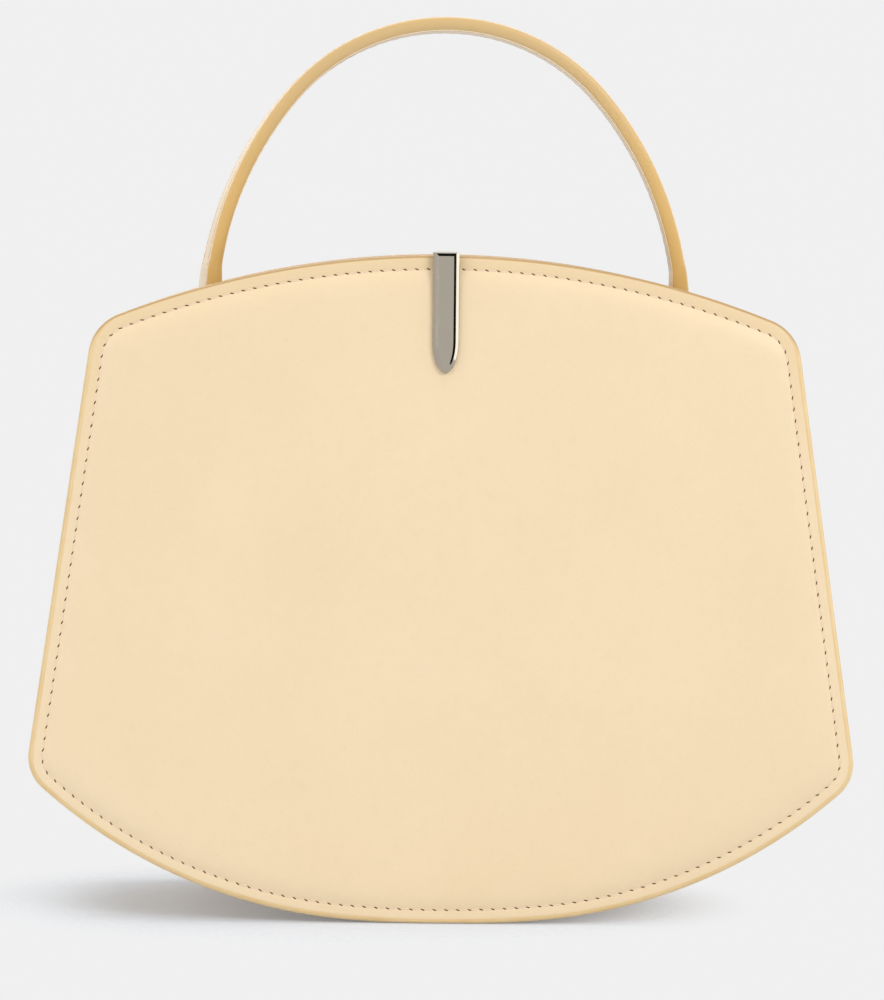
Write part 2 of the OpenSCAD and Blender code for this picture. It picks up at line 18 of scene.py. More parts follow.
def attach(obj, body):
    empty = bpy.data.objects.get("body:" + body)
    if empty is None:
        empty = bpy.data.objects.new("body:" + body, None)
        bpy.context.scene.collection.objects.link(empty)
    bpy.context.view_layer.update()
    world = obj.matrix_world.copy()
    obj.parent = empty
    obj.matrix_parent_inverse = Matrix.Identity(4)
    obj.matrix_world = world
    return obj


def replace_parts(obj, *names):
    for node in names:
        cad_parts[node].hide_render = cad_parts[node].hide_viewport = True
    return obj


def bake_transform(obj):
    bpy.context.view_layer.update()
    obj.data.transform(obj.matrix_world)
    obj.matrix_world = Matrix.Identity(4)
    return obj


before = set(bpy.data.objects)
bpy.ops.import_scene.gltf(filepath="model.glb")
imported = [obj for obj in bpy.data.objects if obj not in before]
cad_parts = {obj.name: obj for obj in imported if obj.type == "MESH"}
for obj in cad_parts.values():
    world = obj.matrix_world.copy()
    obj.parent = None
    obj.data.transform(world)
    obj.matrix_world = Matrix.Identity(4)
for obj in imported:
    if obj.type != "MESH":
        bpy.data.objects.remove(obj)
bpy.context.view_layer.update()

MM = 0.001
PHOTO_H = 1000
CORNERS = ((-1, -1), (1, -1), (1, 1), (-1, 1))
LOG = logging.getLogger("handbag")

Material = bpy.types.Material
Piece = bpy.types.Object
Points = np.ndarray
Profile = tuple[tuple[float, float], ...]
Colour = tuple[float, float, float]
Number = Union[float, "Value"]


# Shaders


class Value:
    """A shader socket that Python expressions work on. Each operation adds its Math node."""

    def __init__(self, recipe: "Recipe", socket: bpy.types.NodeSocket) -> None:
        """Keeps the socket and the recipe that it belongs to."""
        self.recipe = recipe
        self.socket = socket

    def _math(self, operation: str, first: Number, second: Number) -> "Value":
        """Adds a Math node for an operation on two values."""
        return self.recipe.node("ShaderNodeMath", {"operation": operation}, {0: first, 1: second})

    def __add__(self, other: Number) -> "Value":
        """Sum."""
        return self._math("ADD", self, other)

    def __radd__(self, other: Number) -> "Value":
        """Sum, with the number first."""
        return self._math("ADD", other, self)

    def __sub__(self, other: Number) -> "Value":
        """Difference."""
        return self._math("SUBTRACT", self, other)

    def __rsub__(self, other: Number) -> "Value":
        """Difference, with the number first."""
        return self._math("SUBTRACT", other, self)

    def __mul__(self, other: Number) -> "Value":
        """Product."""
        return self._math("MULTIPLY", self, other)

    def __rmul__(self, other: Number) -> "Value":
        """Product, with the number first."""
        return self._math("MULTIPLY", other, self)

    def between(self, low: float, high: float) -> "Value":
        """Smooth step of this value from 0 at low to 1 at high.

        Args:
            low: the value that gives 0.
            high: the value that gives 1, which may be the lower one.

        Returns:
            The step.
        """
        return self.recipe.node(
            "ShaderNodeMapRange",
            {"interpolation_type": "SMOOTHSTEP"},
            {"Value": self, "From Min": low, "From Max": high, "To Min": 0.0, "To Max": 1.0},
        )


class Recipe:
    """Builds the nodes of one material, or of the world."""

    def __init__(self, name: str, owner: bpy.types.ID | None = None) -> None:
        """Starts an empty node tree.

        Args:
            name: a new material's name.
            owner: what has the nodes, where it isn't a new material.
        """
        self.owner = owner or bpy.data.materials.new(name)
        self.owner.use_nodes = True
        self.tree = self.owner.node_tree
        self.tree.nodes.clear()
        self._place = None

    def node(
        self, kind: str, settings: dict[str, Any] | None = None,
        sockets: dict[int | str, Any] | None = None, out: int | str = 0,
    ) -> Value:
        """Adds a node.

        Args:
            kind: the node's type.
            settings: its properties, or under "stops" a ramp's positions and colours.
            sockets: values or links for its inputs, by name or number.
            out: the output that is returned.

        Returns:
            The chosen output.
        """
        made = self.tree.nodes.new(kind)
        for name, value in (settings or {}).items():
            if name == "stops":
                ramp = made.color_ramp.elements
                while len(ramp) < len(value):
                    ramp.new(1.0)
                for stop, (position, colour) in zip(ramp, value):
                    stop.position = position
                    stop.color = (*colour, 1.0)
            else:
                setattr(made, name, value)
        for key, value in (sockets or {}).items():
            if isinstance(value, Value):
                self.tree.links.new(value.socket, made.inputs[key])
            else:
                made.inputs[key].default_value = value
        return Value(self, made.outputs[out])

    @property
    def place(self) -> Value:
        """The surface's own place on the bag.

        Returns:
            Its coordinates in metres.
        """
        if self._place is None:
            self._place = self.node("ShaderNodeTexCoord", out="Object")
        return self._place

    def height(self) -> Value:
        """Height above the ground."""
        return self.node("ShaderNodeSeparateXYZ", {}, {0: self.place}, out="Z")

    def noise(
        self, cell: float, detail: float = 2.0, rough: float = 0.5, at: Value | None = None,
    ) -> Value:
        """Noise in the leather, the metal or the floor.

        Args:
            cell: width of its features in metres.
            detail: how many finer layers it has.
            rough: how strong the finer layers are.
            at: where it is looked up, if not at the surface's own place.

        Returns:
            The noise, from 0 to 1.
        """
        return self.node(
            "ShaderNodeTexNoise", {},
            {"Vector": at or self.place, "Scale": 1 / cell, "Detail": detail, "Roughness": rough},
        )

    def cells(self, cell: float) -> Value:
        """Cells like those of a leather's grain.

        Args:
            cell: their width in metres.

        Returns:
            The distance from the middle of the nearest cell, as a share of their width.
        """
        return self.node(
            "ShaderNodeTexVoronoi", {"feature": "SMOOTH_F1"},
            {"Vector": self.place, "Scale": 1 / cell, "Smoothness": 0.35},
        )

    def stretched(self, scale: Colour, turn: Colour = (0.0, 0.0, 0.0)) -> Value:
        """The place, scaled and turned, for marks that run one way.

        Args:
            scale: the factors along the three axes.
            turn: the angles round them, in radians.

        Returns:
            The changed coordinates.
        """
        return self.node(
            "ShaderNodeMapping", {}, {"Vector": self.place, "Scale": scale, "Rotation": turn}
        )

    def mix(self, factor: Number, first: Any, second: Any) -> Value:
        """Colour between two others.

        Args:
            factor: the share of the second.
            first: the colour at 0.
            second: the colour at 1.

        Returns:
            The mixed colour.
        """
        as_colour = [(*c, 1.0) if isinstance(c, tuple) else c for c in (first, second)]
        return self.node(
            "ShaderNodeMix", {"data_type": "RGBA", "clamp_factor": True},
            {0: factor, 6: as_colour[0], 7: as_colour[1]}, out=2,
        )

    def bump(self, height: Number, depth: float, strength: float = 1.0) -> Value:
        """Normal of a raised surface.

        Args:
            height: the relief, from 0 to 1.
            depth: how far 1 rises, in metres.
            strength: the share of the relief that shows.

        Returns:
            The normal.
        """
        return self.node(
            "ShaderNodeBump", {}, {"Height": height, "Distance": depth, "Strength": strength}
        )

    def seen(self) -> Value:
        """Tells apart the rays that show things: those of the camera, of mirrors and through glass.

        Returns:
            1 for these rays, 0 for those that light.
        """
        shown = [self.node("ShaderNodeLightPath", out=f"Is {kind} Ray")
                 for kind in ("Camera", "Glossy", "Transmission")]
        return shown[0] + shown[1] + shown[2]

    def finish(self, shader: Value, output: str = "ShaderNodeOutputMaterial") -> bpy.types.ID:
        """Ends the recipe with a shader.

        Args:
            shader: the shader.
            output: the output node's type.

        Returns:
            What has the nodes.
        """
        made = self.tree.nodes.new(output)
        self.tree.links.new(shader.socket, made.inputs["Surface"])
        return self.owner

    def surface(self, **sockets: Any) -> Material:
        """Ends the recipe with a Principled shader.

        Args:
            **sockets: its inputs, with _ for the spaces in their names.

        Returns:
            The material.
        """
        named = {k.replace("_", " "): v for k, v in sockets.items()}
        named = {k: (*v, 1.0) if isinstance(v, tuple) and len(v) == 3 else v for k, v in named.items()}
        return self.finish(self.node("ShaderNodeBsdfPrincipled", {}, named))


def shade(colour: Colour, by: float) -> Colour:
    """A colour made lighter or darker by a factor."""
    return tuple(min(c * by, 1.0) for c in colour)


@dataclass(frozen=True)
class Calf:
    """Smooth calf leather with a fine grain, pores and faint clouds in its dye."""

    name: str
    tone: Colour
    warm: Colour
    grain: float = 0.00042
    relief: float = 0.000022
    rough: float = 0.46
    darker_top: Colour | None = None

    def material(self) -> Material:
        """Makes the material.

        Returns:
            The material.
        """
        r = Recipe(self.name)
        clouds = r.noise(0.055, 3.0, 0.55)
        flecks = r.noise(0.0035, 4.0, 0.6)
        grain = r.cells(self.grain)
        pores = r.cells(0.0016).between(0.22, 0.05)
        creases = r.noise(0.0021, 5.0, 0.62)
        dye = r.mix(clouds.between(0.32, 0.7), self.tone, self.warm)
        dye = r.mix(flecks.between(0.45, 0.75) * 0.3, dye, shade(self.warm, 0.97))
        dye = r.mix(pores * 0.22, dye, shade(self.warm, 0.8))
        # Where a darker top tone is given, the leather turns towards it between 125 mm and 178 mm above
        # the ground.
        if self.darker_top:
            dye = r.mix(r.height().between(0.125, 0.178) * 0.85, dye, self.darker_top)
        height = grain * 0.8 + creases * 0.55 - pores * 0.35
        return r.surface(
            Base_Color=dye,
            Roughness=self.rough - 0.07 * grain + 0.1 * clouds,
            Specular_IOR_Level=0.42,
            Coat_Weight=0.05,
            Coat_Roughness=0.35,
            Normal=r.bump(height, self.relief),
        )


@dataclass(frozen=True)
class EdgePaint:
    """Edge paint, laid on in coats and burnished, with slight waves and warm patches. Over a span of
    heights it turns to another tone; where that tone is kept to an upward-facing crown, it is painted
    shade.
    """

    name: str
    tone: Colour
    deep: Colour
    other: Colour
    span: tuple[float, float]
    painted_shade_on_crown: bool = False

    def material(self) -> Material:
        """Makes the material, which turns to its other tone over a span of heights.

        Returns:
            The material.
        """
        r = Recipe(self.name)
        patches = r.noise(0.009, 3.0, 0.5)
        waves = r.noise(0.0014, 3.0, 0.55)
        dye = r.mix(patches.between(0.35, 0.72), self.tone, self.deep)
        share = r.height().between(*self.span)
        # The flag keeps the other tone to surfaces facing up: a dark tan of painted shade along the top
        # of an edge.
        if self.painted_shade_on_crown:
            facing = r.node("ShaderNodeTexCoord", out="Normal")
            share = share * r.node("ShaderNodeSeparateXYZ", {}, {0: facing}, out="Z").between(0.15, 0.5)
        return r.surface(
            Base_Color=r.mix(share, dye, self.other),
            Roughness=0.34 + 0.16 * waves,
            Specular_IOR_Level=0.4,
            Coat_Weight=0.15,
            Coat_Roughness=0.25,
            Normal=r.bump(waves, 0.00005),
        )


@dataclass(frozen=True)
class Suede:
    """Suede lining, with a short nap that lies in soft patches."""

    name: str
    tone: Colour
    brushed: Colour

    def material(self) -> Material:
        """Makes the material.

        Returns:
            The material.
        """
        r = Recipe(self.name)
        nap = r.noise(0.0007, 6.0, 0.7)
        strokes = r.noise(0.02, 4.0, 0.6, r.stretched((1.0, 1.0, 0.45)))
        dye = r.mix(strokes.between(0.35, 0.65), self.tone, self.brushed)
        dye = r.mix(nap.between(0.4, 0.7) * 0.35, dye, shade(self.tone, 0.78))
        return r.surface(
            Base_Color=dye,
            Roughness=0.86 + 0.12 * nap,
            Specular_IOR_Level=0.2,
            Sheen_Weight=0.35,
            Sheen_Roughness=0.45,
            Normal=r.bump(nap, 0.00018),
        )


@dataclass(frozen=True)
class Metal:
    """Polished or brushed metal with fine scratches."""

    name: str
    tone: Colour
    rough: float
    lines: float = 0.000012

    def material(self) -> Material:
        """Makes the material.

        Returns:
            The material.
        """
        r = Recipe(self.name)
        smears = r.noise(0.006, 3.0, 0.5)
        lines = r.noise(0.0002, 3.0, 0.6, r.stretched((1.0, 1.0, 0.06)))
        return r.surface(
            Base_Color=r.mix(smears, self.tone, shade(self.tone, 0.94)),
            Metallic=1.0,
            Roughness=self.rough + 0.06 * smears + 0.04 * lines,
            Normal=r.bump(lines, self.lines, 0.5),
        )


@dataclass(frozen=True)
class Thread:
    """Waxed sewing thread, twisted from plies; in dark tones, the same recipe paints the shade in each
    stitch slit.
    """

    name: str
    tone: Colour
    dark: Colour
    gloss: float = 0.4

    def material(self) -> Material:
        """Makes the material.

        Returns:
            The material.
        """
        r = Recipe(self.name)
        plies = r.node(
            "ShaderNodeTexWave", {"bands_direction": "DIAGONAL", "wave_profile": "SIN"},
            {"Vector": r.place, "Scale": 1 / 0.0016, "Distortion": 1.5, "Detail": 2.0},
            out="Fac",
        )
        return r.surface(
            Base_Color=r.mix(plies * 0.4, self.tone, self.dark),
            Roughness=0.5 + 0.15 * plies,
            Specular_IOR_Level=self.gloss,
            Normal=r.bump(plies, 0.00005),
        )


@dataclass(frozen=True)
class Board:
    """Pressed fibre board or felt, with flecks of fibre."""

    name: str
    tone: Colour
    fleck: Colour

    def material(self) -> Material:
        """Makes the material.

        Returns:
            The material.
        """
        r = Recipe(self.name)
        fibres = r.noise(0.0009, 5.0, 0.7, r.stretched((1.0, 1.0, 0.3), (0.4, 0.2, 0.0)))
        return r.surface(
            Base_Color=r.mix(fibres.between(0.4, 0.7), self.tone, self.fleck),
            Roughness=0.85 + 0.1 * fibres,
            Normal=r.bump(fibres, 0.0001),
        )


@dataclass(frozen=True)
class Finishes:
    """The bag's finishes, each made once."""

    calf: Material = field(default_factory=Calf(
        "butter_calf", (0.918, 0.720, 0.464), (0.896, 0.696, 0.441)).material)
    fold_calf: Material = field(default_factory=Calf(
        "soft_fold_calf", (0.880, 0.675, 0.435), (0.855, 0.645, 0.405), 0.0005, 0.00003, 0.52).material)
    # The strap's leather: the panel calf made lighter, painted light that makes up for the light its
    # faces miss from the left.
    handle_calf_painted_light: Material = field(default_factory=Calf(
        "handle_calf_painted_light", (0.960, 0.780, 0.545), (0.940, 0.755, 0.515), 0.00038, 0.00002, 0.42).material)
    # The sewn border: the panel calf, turning darker and yellower towards the top of the bag.
    border_calf: Material = field(default_factory=Calf(
        "border_calf_darker_top", (0.918, 0.720, 0.464), (0.896, 0.696, 0.441),
        darker_top=(0.862, 0.645, 0.370)).material)
    # Honey paint of the panels' edges: above 150 mm its upward-facing crown turns dark tan, a painted
    # shade standing for the dark gap behind a panel's top edge.
    paint: Material = field(default_factory=EdgePaint(
        "honey_edge_paint", (0.860, 0.622, 0.312), (0.830, 0.577, 0.268), (0.500, 0.310, 0.120),
        (0.150, 0.180), True).material)
    # Golden paint of the strap's edges: deeper gold and a little brighter towards the feet, less
    # saturated over the crown of the arch above 188 mm. The deeper gold is the paint's own colour; the
    # extra brightness at the feet is painted light, lifting them out of the shade between the panels.
    strap_paint: Material = field(default_factory=EdgePaint(
        "golden_strap_paint", (0.785, 0.475, 0.146), (0.765, 0.460, 0.136), (0.695, 0.470, 0.205),
        (0.188, 0.262)).material)
    lining: Material = field(default_factory=Suede(
        "beige_suede", (0.610, 0.450, 0.280), (0.690, 0.530, 0.345)).material)
    nickel: Material = field(default_factory=Metal(
        "warm_nickel", (0.455, 0.415, 0.345), 0.07).material)
    steel: Material = field(default_factory=Metal(
        "plain_steel", (0.560, 0.540, 0.500), 0.32, 0.00003).material)
    magnet: Material = field(default_factory=Metal(
        "coated_magnet", (0.320, 0.310, 0.300), 0.38, 0.00002).material)
    thread: Material = field(default_factory=Thread(
        "waxed_thread", (0.900, 0.700, 0.495), (0.820, 0.610, 0.410)).material)
    # Dark beads in each pricked slit: painted shade, standing for the shadow inside the hole.
    slit_shade: Material = field(default_factory=Thread(
        "pricked_slits", (0.150, 0.075, 0.012), (0.080, 0.036, 0.006), 0.0).material)
    # The strap's slit beads: the same painted shade, in a lighter brown.
    strap_slit_shade: Material = field(default_factory=Thread(
        "strap_slits", (0.430, 0.275, 0.120), (0.310, 0.190, 0.070), 0.0).material)
    board: Material = field(default_factory=Board(
        "fibre_board", (0.300, 0.240, 0.165), (0.420, 0.350, 0.260)).material)


# Shapes


class Side(Enum):
    """The half of the bag that a panel belongs to."""

    FRONT = "front"
    BACK = "back"

    def world(self, points: Points) -> Points:
        """Turns points drawn for the front half to this half."""
        return points if self is Side.FRONT else points * [-1.0, -1.0, 1.0]


def direction(degrees: float) -> Points:
    """Unit vector at an angle from +X."""
    return np.array([math.cos(math.radians(degrees)), math.sin(math.radians(degrees))])


def arc(centre: Points, radius: float, start: float, end: float, steps: int) -> list[Points]:
    """Points of an arc, without its first one."""
    return [centre + radius * direction(start + (end - start) * k / steps) for k in range(1, steps + 1)]


def mirrored(half: Points) -> Points:
    """A closed loop from its right half, whose ends lie on the middle line."""
    return np.vstack([half, (half[1:-1] * [-1.0, 1.0])[::-1]])


def heading(a: Points, b: Points) -> float:
    """Angle from one point to another, in degrees."""
    return math.degrees(math.atan2(b[1] - a[1], b[0] - a[0]))


@dataclass(frozen=True)
class BagForm:
    """The panels' outline and the bag's build-up, in millimetres, as the part's source has them."""

    base_w: float = 240.0
    top_w: float = 207.0
    body_h: float = 196.0
    corner_z: float = 55.0
    top_arc_r: float = 261.0
    base_arc_r: float = 333.0
    base_arc_half: float = 5.0
    side_arc_r: float = 153.0
    top_corner_r: float = 14.0
    low_corner_r: float = 12.0
    body_d: float = 80.0
    lean: float = 5.0
    stand_flat: float = 0.3
    panel_t: float = 3.6
    pad_rise: float = 1.2
    centre_t: float = 4.0
    soft_gap: float = 0.3
    steps: tuple[int, ...] = (10, 44, 10, 36, 12, 56)

    def half(self, inset: float, drop: float = 0.0) -> Points:
        """Right half of the outline, from the middle of the bottom to the middle of the top.

        Args:
            inset: distance inside the panel's edge.
            drop: how much lower the top edge lies.

        Returns:
            Points of across and up.
        """
        top_z = self.body_h - self.top_arc_r + math.sqrt(self.top_arc_r ** 2 - (self.top_w / 2) ** 2)
        side = math.degrees(math.atan2((self.base_w - self.top_w) / 2, top_z - self.corner_z))
        side_n = direction(side)
        side_up = direction(side + 90)
        side_c = side_n @ np.array([self.base_w / 2, self.corner_z])
        swing = self.base_arc_r - self.side_arc_r
        half_angle = math.radians(self.base_arc_half)
        side_centre = np.array([
            swing * math.sin(half_angle), self.base_arc_r - swing * math.cos(half_angle)])

        def corner(centre: Points, radius: float, rounding: float, up: int) -> Points:
            """Middle of the rounding between the straight side and an arc.

            Args:
                centre: the arc's middle.
                radius: the arc's radius.
                rounding: the rounding's radius.
                up: 1 for the corner at the side's top, -1 at its foot.

            Returns:
                The middle.
            """
            q = side_c - inset - rounding - side_n @ centre
            reach = radius - inset - rounding
            return centre + q * side_n + up * math.sqrt(reach ** 2 - q ** 2) * side_up

        low_r = max(self.low_corner_r - inset, 1.0)
        top_r = max(self.top_corner_r - inset, 1.0)
        top_c = np.array([0.0, self.body_h - self.top_arc_r - drop])
        low_f = corner(side_centre, self.side_arc_r, low_r, -1)
        top_f = corner(top_c, self.top_arc_r, top_r, 1)
        arc_end, top_start = heading(side_centre, low_f), heading(top_c, top_f)
        base, sweep, low, straight, high, top = self.steps
        points = [np.array([0.0, inset])]
        points += arc(np.array([0.0, self.base_arc_r]), self.base_arc_r - inset, -90.0,
                      self.base_arc_half - 90.0, base)
        points += arc(side_centre, self.side_arc_r - inset, self.base_arc_half - 90.0, arc_end, sweep)
        points += arc(low_f, low_r, arc_end, side, low)
        start, end = low_f + low_r * side_n, top_f + top_r * side_n
        points += [start + (end - start) * k / straight for k in range(1, straight + 1)]
        points += arc(top_f, top_r, side, top_start, high)
        points += arc(top_c, self.top_arc_r - inset, top_start, 90.0, top)
        return np.array(points)

    def loop(self, inset: float) -> Points:
        """The whole outline, counter-clockwise seen from the front."""
        return mirrored(self.half(inset))

    @property
    def tilt(self) -> tuple[float, float]:
        """Cosine and sine of the panels' lean."""
        return math.cos(math.radians(self.lean)), math.sin(math.radians(self.lean))

    def on_panel(self, points: Points | Sequence[Sequence[float]], side: Side = Side.FRONT) -> Points:
        """Places points that belong to a leaning panel.

        Args:
            points: points of across, depth and up.
            side: the panel's side.

        Returns:
            The placed points.
        """
        across, depth, up = np.asarray(points, float).T
        cos, sin = self.tilt
        return side.world(np.stack([
            across, depth * cos + up * sin - self.body_d / 2, up * cos - depth * sin - self.stand_flat,
        ], axis=1))

    def on_centre(self, points: Points) -> Points:
        """Places points of the upright centre panel."""
        return points - [0.0, 0.0, self.stand_flat]

    def bay(self, z: float) -> float:
        """Width of the space between a panel and the centre panel at a height."""
        return (self.body_d / 2 - self.centre_t / 2 - self.panel_t - self.soft_gap
                - z * math.tan(math.radians(self.lean)))


def with_depth(flat: Points, depth: float) -> Points:
    """Adds a depth to points of across and up."""
    return np.stack([flat[:, 0], np.full(len(flat), depth), flat[:, 1]], axis=1)


def rounded_path(corners: Sequence[Points], radii: Sequence[float], steps: int = 6,
                 most: float = 0.45) -> Points:
    """An open path through corners, each rounded over a distance along its legs.

    Args:
        corners: the path's corner points.
        radii: how far each inner corner's rounding reaches.
        steps: points of each rounding.
        most: the largest share of a leg that a rounding takes.

    Returns:
        The path's points, always as many for the same corners.
    """
    made = [corners[0]]
    for before, here, after, radius in zip(corners, corners[1:], corners[2:], radii):
        a, b = before - here, after - here
        la, lb = np.linalg.norm(a), np.linalg.norm(b)
        reach = min(radius, la * most, lb * most)
        p, q = here + a / la * reach, here + b / lb * reach
        for k in range(steps + 1):
            t = k / steps
            made.append(p * (1 - t) ** 2 + here * 2 * t * (1 - t) + q * t * t)
    made.append(corners[-1])
    return np.array(made)


def thickened(path: Points, thickness: float, tip_l: float = 0.28, tip_w: float = 0.5) -> Points:
    """A closed section round an open flat path, with rounded ends.

    Args:
        path: the path's points.
        thickness: the section's thickness.
        tip_l: how far the ends reach out, as a share of the thickness.
        tip_w: the ends' width, as a share of the thickness.

    Returns:
        The section's points.
    """
    run = np.gradient(path, axis=0)
    run /= np.linalg.norm(run, axis=1)[:, None]
    side = np.stack([run[:, 1], -run[:, 0]], axis=1) * thickness / 2
    end, start = path[-1] + run[-1] * thickness * tip_l, path[0] - run[0] * thickness * tip_l
    return np.vstack([
        path + side, [end + side[-1] * tip_w, end - side[-1] * tip_w],
        (path - side)[::-1], [start - side[0] * tip_w, start + side[0] * tip_w],
    ])


class Work:
    """Collects forms in millimetres and makes one mesh of them."""

    def __init__(self) -> None:
        """Starts with nothing."""
        self.points: list[Points] = []
        self.faces: list[tuple[int, ...]] = []
        self.count = 0

    def add(self, points: Points, faces: Sequence[Sequence[int]]) -> "Work":
        """Adds a form.

        Args:
            points: its points.
            faces: its faces, as numbers of its own points.

        Returns:
            The same work, for the next form.
        """
        self.points.append(np.asarray(points, float))
        self.faces += [tuple(i + self.count for i in f) for f in faces]
        self.count += len(points)
        return self

    def loft(self, rings: Sequence[Points], wrap: bool = False, fans: bool = True) -> "Work":
        """Adds a skin over closed rings of equal length.

        Args:
            rings: the rings, in order.
            wrap: whether the last ring joins the first, with no ends.
            fans: whether the ends are fans round their middles, and not one face each.

        Returns:
            The same work.
        """
        m, n = len(rings[0]), len(rings)
        points = np.vstack(rings)
        faces: list[tuple[int, ...]] = []
        for i in range(n if wrap else n - 1):
            a, b = i * m, (i + 1) % n * m
            faces += [(a + j, a + (j + 1) % m, b + (j + 1) % m, b + j) for j in range(m)]
        if not wrap and fans:
            points = np.vstack([points, [rings[0].mean(0)], [rings[-1].mean(0)]])
            last = (n - 1) * m
            faces += [(n * m, (j + 1) % m, j) for j in range(m)]
            faces += [(n * m + 1, last + j, last + (j + 1) % m) for j in range(m)]
        elif not wrap:
            faces += [tuple(range(m))[::-1], tuple(range((n - 1) * m, n * m))]
        return self.add(points, faces)

    def turned(self, base: Sequence[float], axis: Sequence[float], profile: Profile,
               steps: int = 40, bored: bool = False) -> "Work":
        """Adds a turned form.

        Args:
            base: a point on its axis.
            axis: the axis's direction.
            profile: pairs of radius and distance along the axis, from one end to the other.
            steps: points of each ring.
            bored: whether the profile closes on itself round a bore.

        Returns:
            The same work.
        """
        along = Vector(axis).normalized()
        across = along.orthogonal().normalized()
        third = along.cross(across)
        turn = np.linspace(0, 2 * math.pi, steps, endpoint=False)
        circle = np.outer(np.cos(turn), across) + np.outer(np.sin(turn), third)
        rings = [np.asarray(base) + radius * circle + np.array(along) * at for radius, at in profile]
        return self.loft(rings, wrap=bored)

    def make(self, name: str, material: Material, slot: str, sharp: float = 38.0,
             bevel: float = 0.0) -> Piece:
        """Makes the mesh's object.

        Args:
            name: the piece's name.
            material: its finish.
            slot: the record's material slot; not used.
            sharp: the angle in degrees over which an edge stays sharp.
            bevel: width of a rounding along sharp edges, in millimetres.

        Returns:
            The object.
        """
        mesh = bpy.data.meshes.new(name)
        mesh.from_pydata((np.vstack(self.points) * MM).tolist(), [], self.faces)
        shell = bmesh.new()
        shell.from_mesh(mesh)
        bmesh.ops.recalc_face_normals(shell, faces=shell.faces)
        shell.to_mesh(mesh)
        shell.free()
        mesh.materials.append(material)
        mesh.shade_smooth()
        mesh.set_sharp_from_angle(angle=math.radians(sharp))
        made = bpy.data.objects.new(name, mesh)
        bpy.context.scene.collection.objects.link(made)
        if bevel:
            rounding = made.modifiers.new("edges", "BEVEL")
            rounding.width, rounding.segments = bevel * MM, 3
            rounding.limit_method, rounding.angle_limit = "ANGLE", math.radians(30)
            rounding.harden_normals = False
            apply_modifiers(made)
            made.data.shade_smooth()
            made.data.set_sharp_from_angle(angle=math.radians(sharp))
        LOG.info("%s: %d faces", name, len(made.data.polygons))
        return made


def apply_modifiers(piece: Piece) -> None:
    """Writes a piece's modifiers into its mesh.

    Args:
        piece: the object, which keeps none of them.
    """
    graph = bpy.context.evaluated_depsgraph_get()
    made = bpy.data.meshes.new_from_object(piece.evaluated_get(graph))
    piece.modifiers.clear()
    old, piece.data = piece.data, made
    bpy.data.meshes.remove(old)


# Sewing


@dataclass(frozen=True)
class Seam:
    """A saddle-stitched seam: thread between slanted pricked holes, whose shade is painted on dark
    beads, in millimetres.
    """

    pitch: float = 3.42
    slant: float = -31.0
    slit: tuple[float, float, float] = (1.5, 0.46, 0.16)
    thread: tuple[float, float, float] = (2.3, 0.5, 0.34)
    thread_turn: float = 5.0
    feel: float = 0.4
    bead_half: Profile = ((0.3, 1.0), (0.72, 0.88), (0.93, 0.55), (1.0, 0.18))
    bead_sides: int = 8

    def bead(self, size: tuple[float, float, float]) -> tuple[Points, list[tuple[int, ...]]]:
        """Template of one stitch, lying along X with its top to +Z.

        Args:
            size: length, width and height.

        Returns:
            Its points and faces.
        """
        length, width, height = size
        turn = np.linspace(0, 2 * math.pi, self.bead_sides, endpoint=False)
        stations = [(-at, girth) for at, girth in self.bead_half[::-1]] + list(self.bead_half)
        rings = [np.stack([
            np.full(self.bead_sides, at * length / 2),
            np.cos(turn) * girth * width / 2,
            np.sin(turn) * girth * height / 2,
        ], axis=1) for at, girth in stations]
        form = Work().loft(rings)
        return np.vstack(form.points), form.faces

    def sew(self, path: Points, outward: Points, closed: bool) -> tuple[Work, Work]:
        """Sews along a path.

        Args:
            path: the seam's points on the surface.
            outward: the surface's normal, one for all or one for each point.
            closed: whether the path is a loop.

        Returns:
            The threads, and the dark beads of painted shade in each slit.
        """
        line = np.vstack([path, path[:1]]) if closed else path
        normals = np.broadcast_to(outward, line.shape) if np.ndim(outward) == 1 or closed else outward
        steps = np.linalg.norm(np.diff(line, axis=0), axis=1)
        run = np.concatenate([[0.0], np.cumsum(steps)])
        count = max(2, round(run[-1] / self.pitch))
        holes = (np.arange(count) + 0.5) * run[-1] / count
        half_step = run[-1] / count / 2
        middles = (holes + half_step) % run[-1] if closed else holes[:-1] + half_step
        threads, slits = Work(), Work()

        def on_run(rows: Points, where: Points) -> Points:
            """The path's rows at distances along it."""
            return np.stack([np.interp(where, run, rows[:, k]) for k in range(3)], axis=1)

        def frames(where: Points, turn: float) -> tuple[Points, Points]:
            """Places and axes of stitches.

            Args:
                where: their distances along the path.
                turn: their angle to the path, in degrees.

            Returns:
                The places, and the three axes at each.
            """
            up = on_run(normals, where)
            up /= np.linalg.norm(up, axis=1)[:, None]
            ahead = on_run(line, np.minimum(where + self.feel, run[-1]))
            along = ahead - on_run(line, np.maximum(where - self.feel, 0.0))
            along -= (along * up).sum(1)[:, None] * up
            along /= np.linalg.norm(along, axis=1)[:, None]
            side = np.cross(up, along)
            angle = math.radians(turn)
            x = along * math.cos(angle) + side * math.sin(angle)
            return on_run(line, where), np.stack([x, np.cross(up, x), up], axis=1)

        for work, size, turn, where in (
            (slits, self.slit, self.slant, holes),
            (threads, self.thread, self.thread_turn, middles),
        ):
            points, faces = self.bead(size)
            for spot, axes in zip(*frames(where, turn)):
                work.add(points @ axes + spot, faces)
        return threads, slits


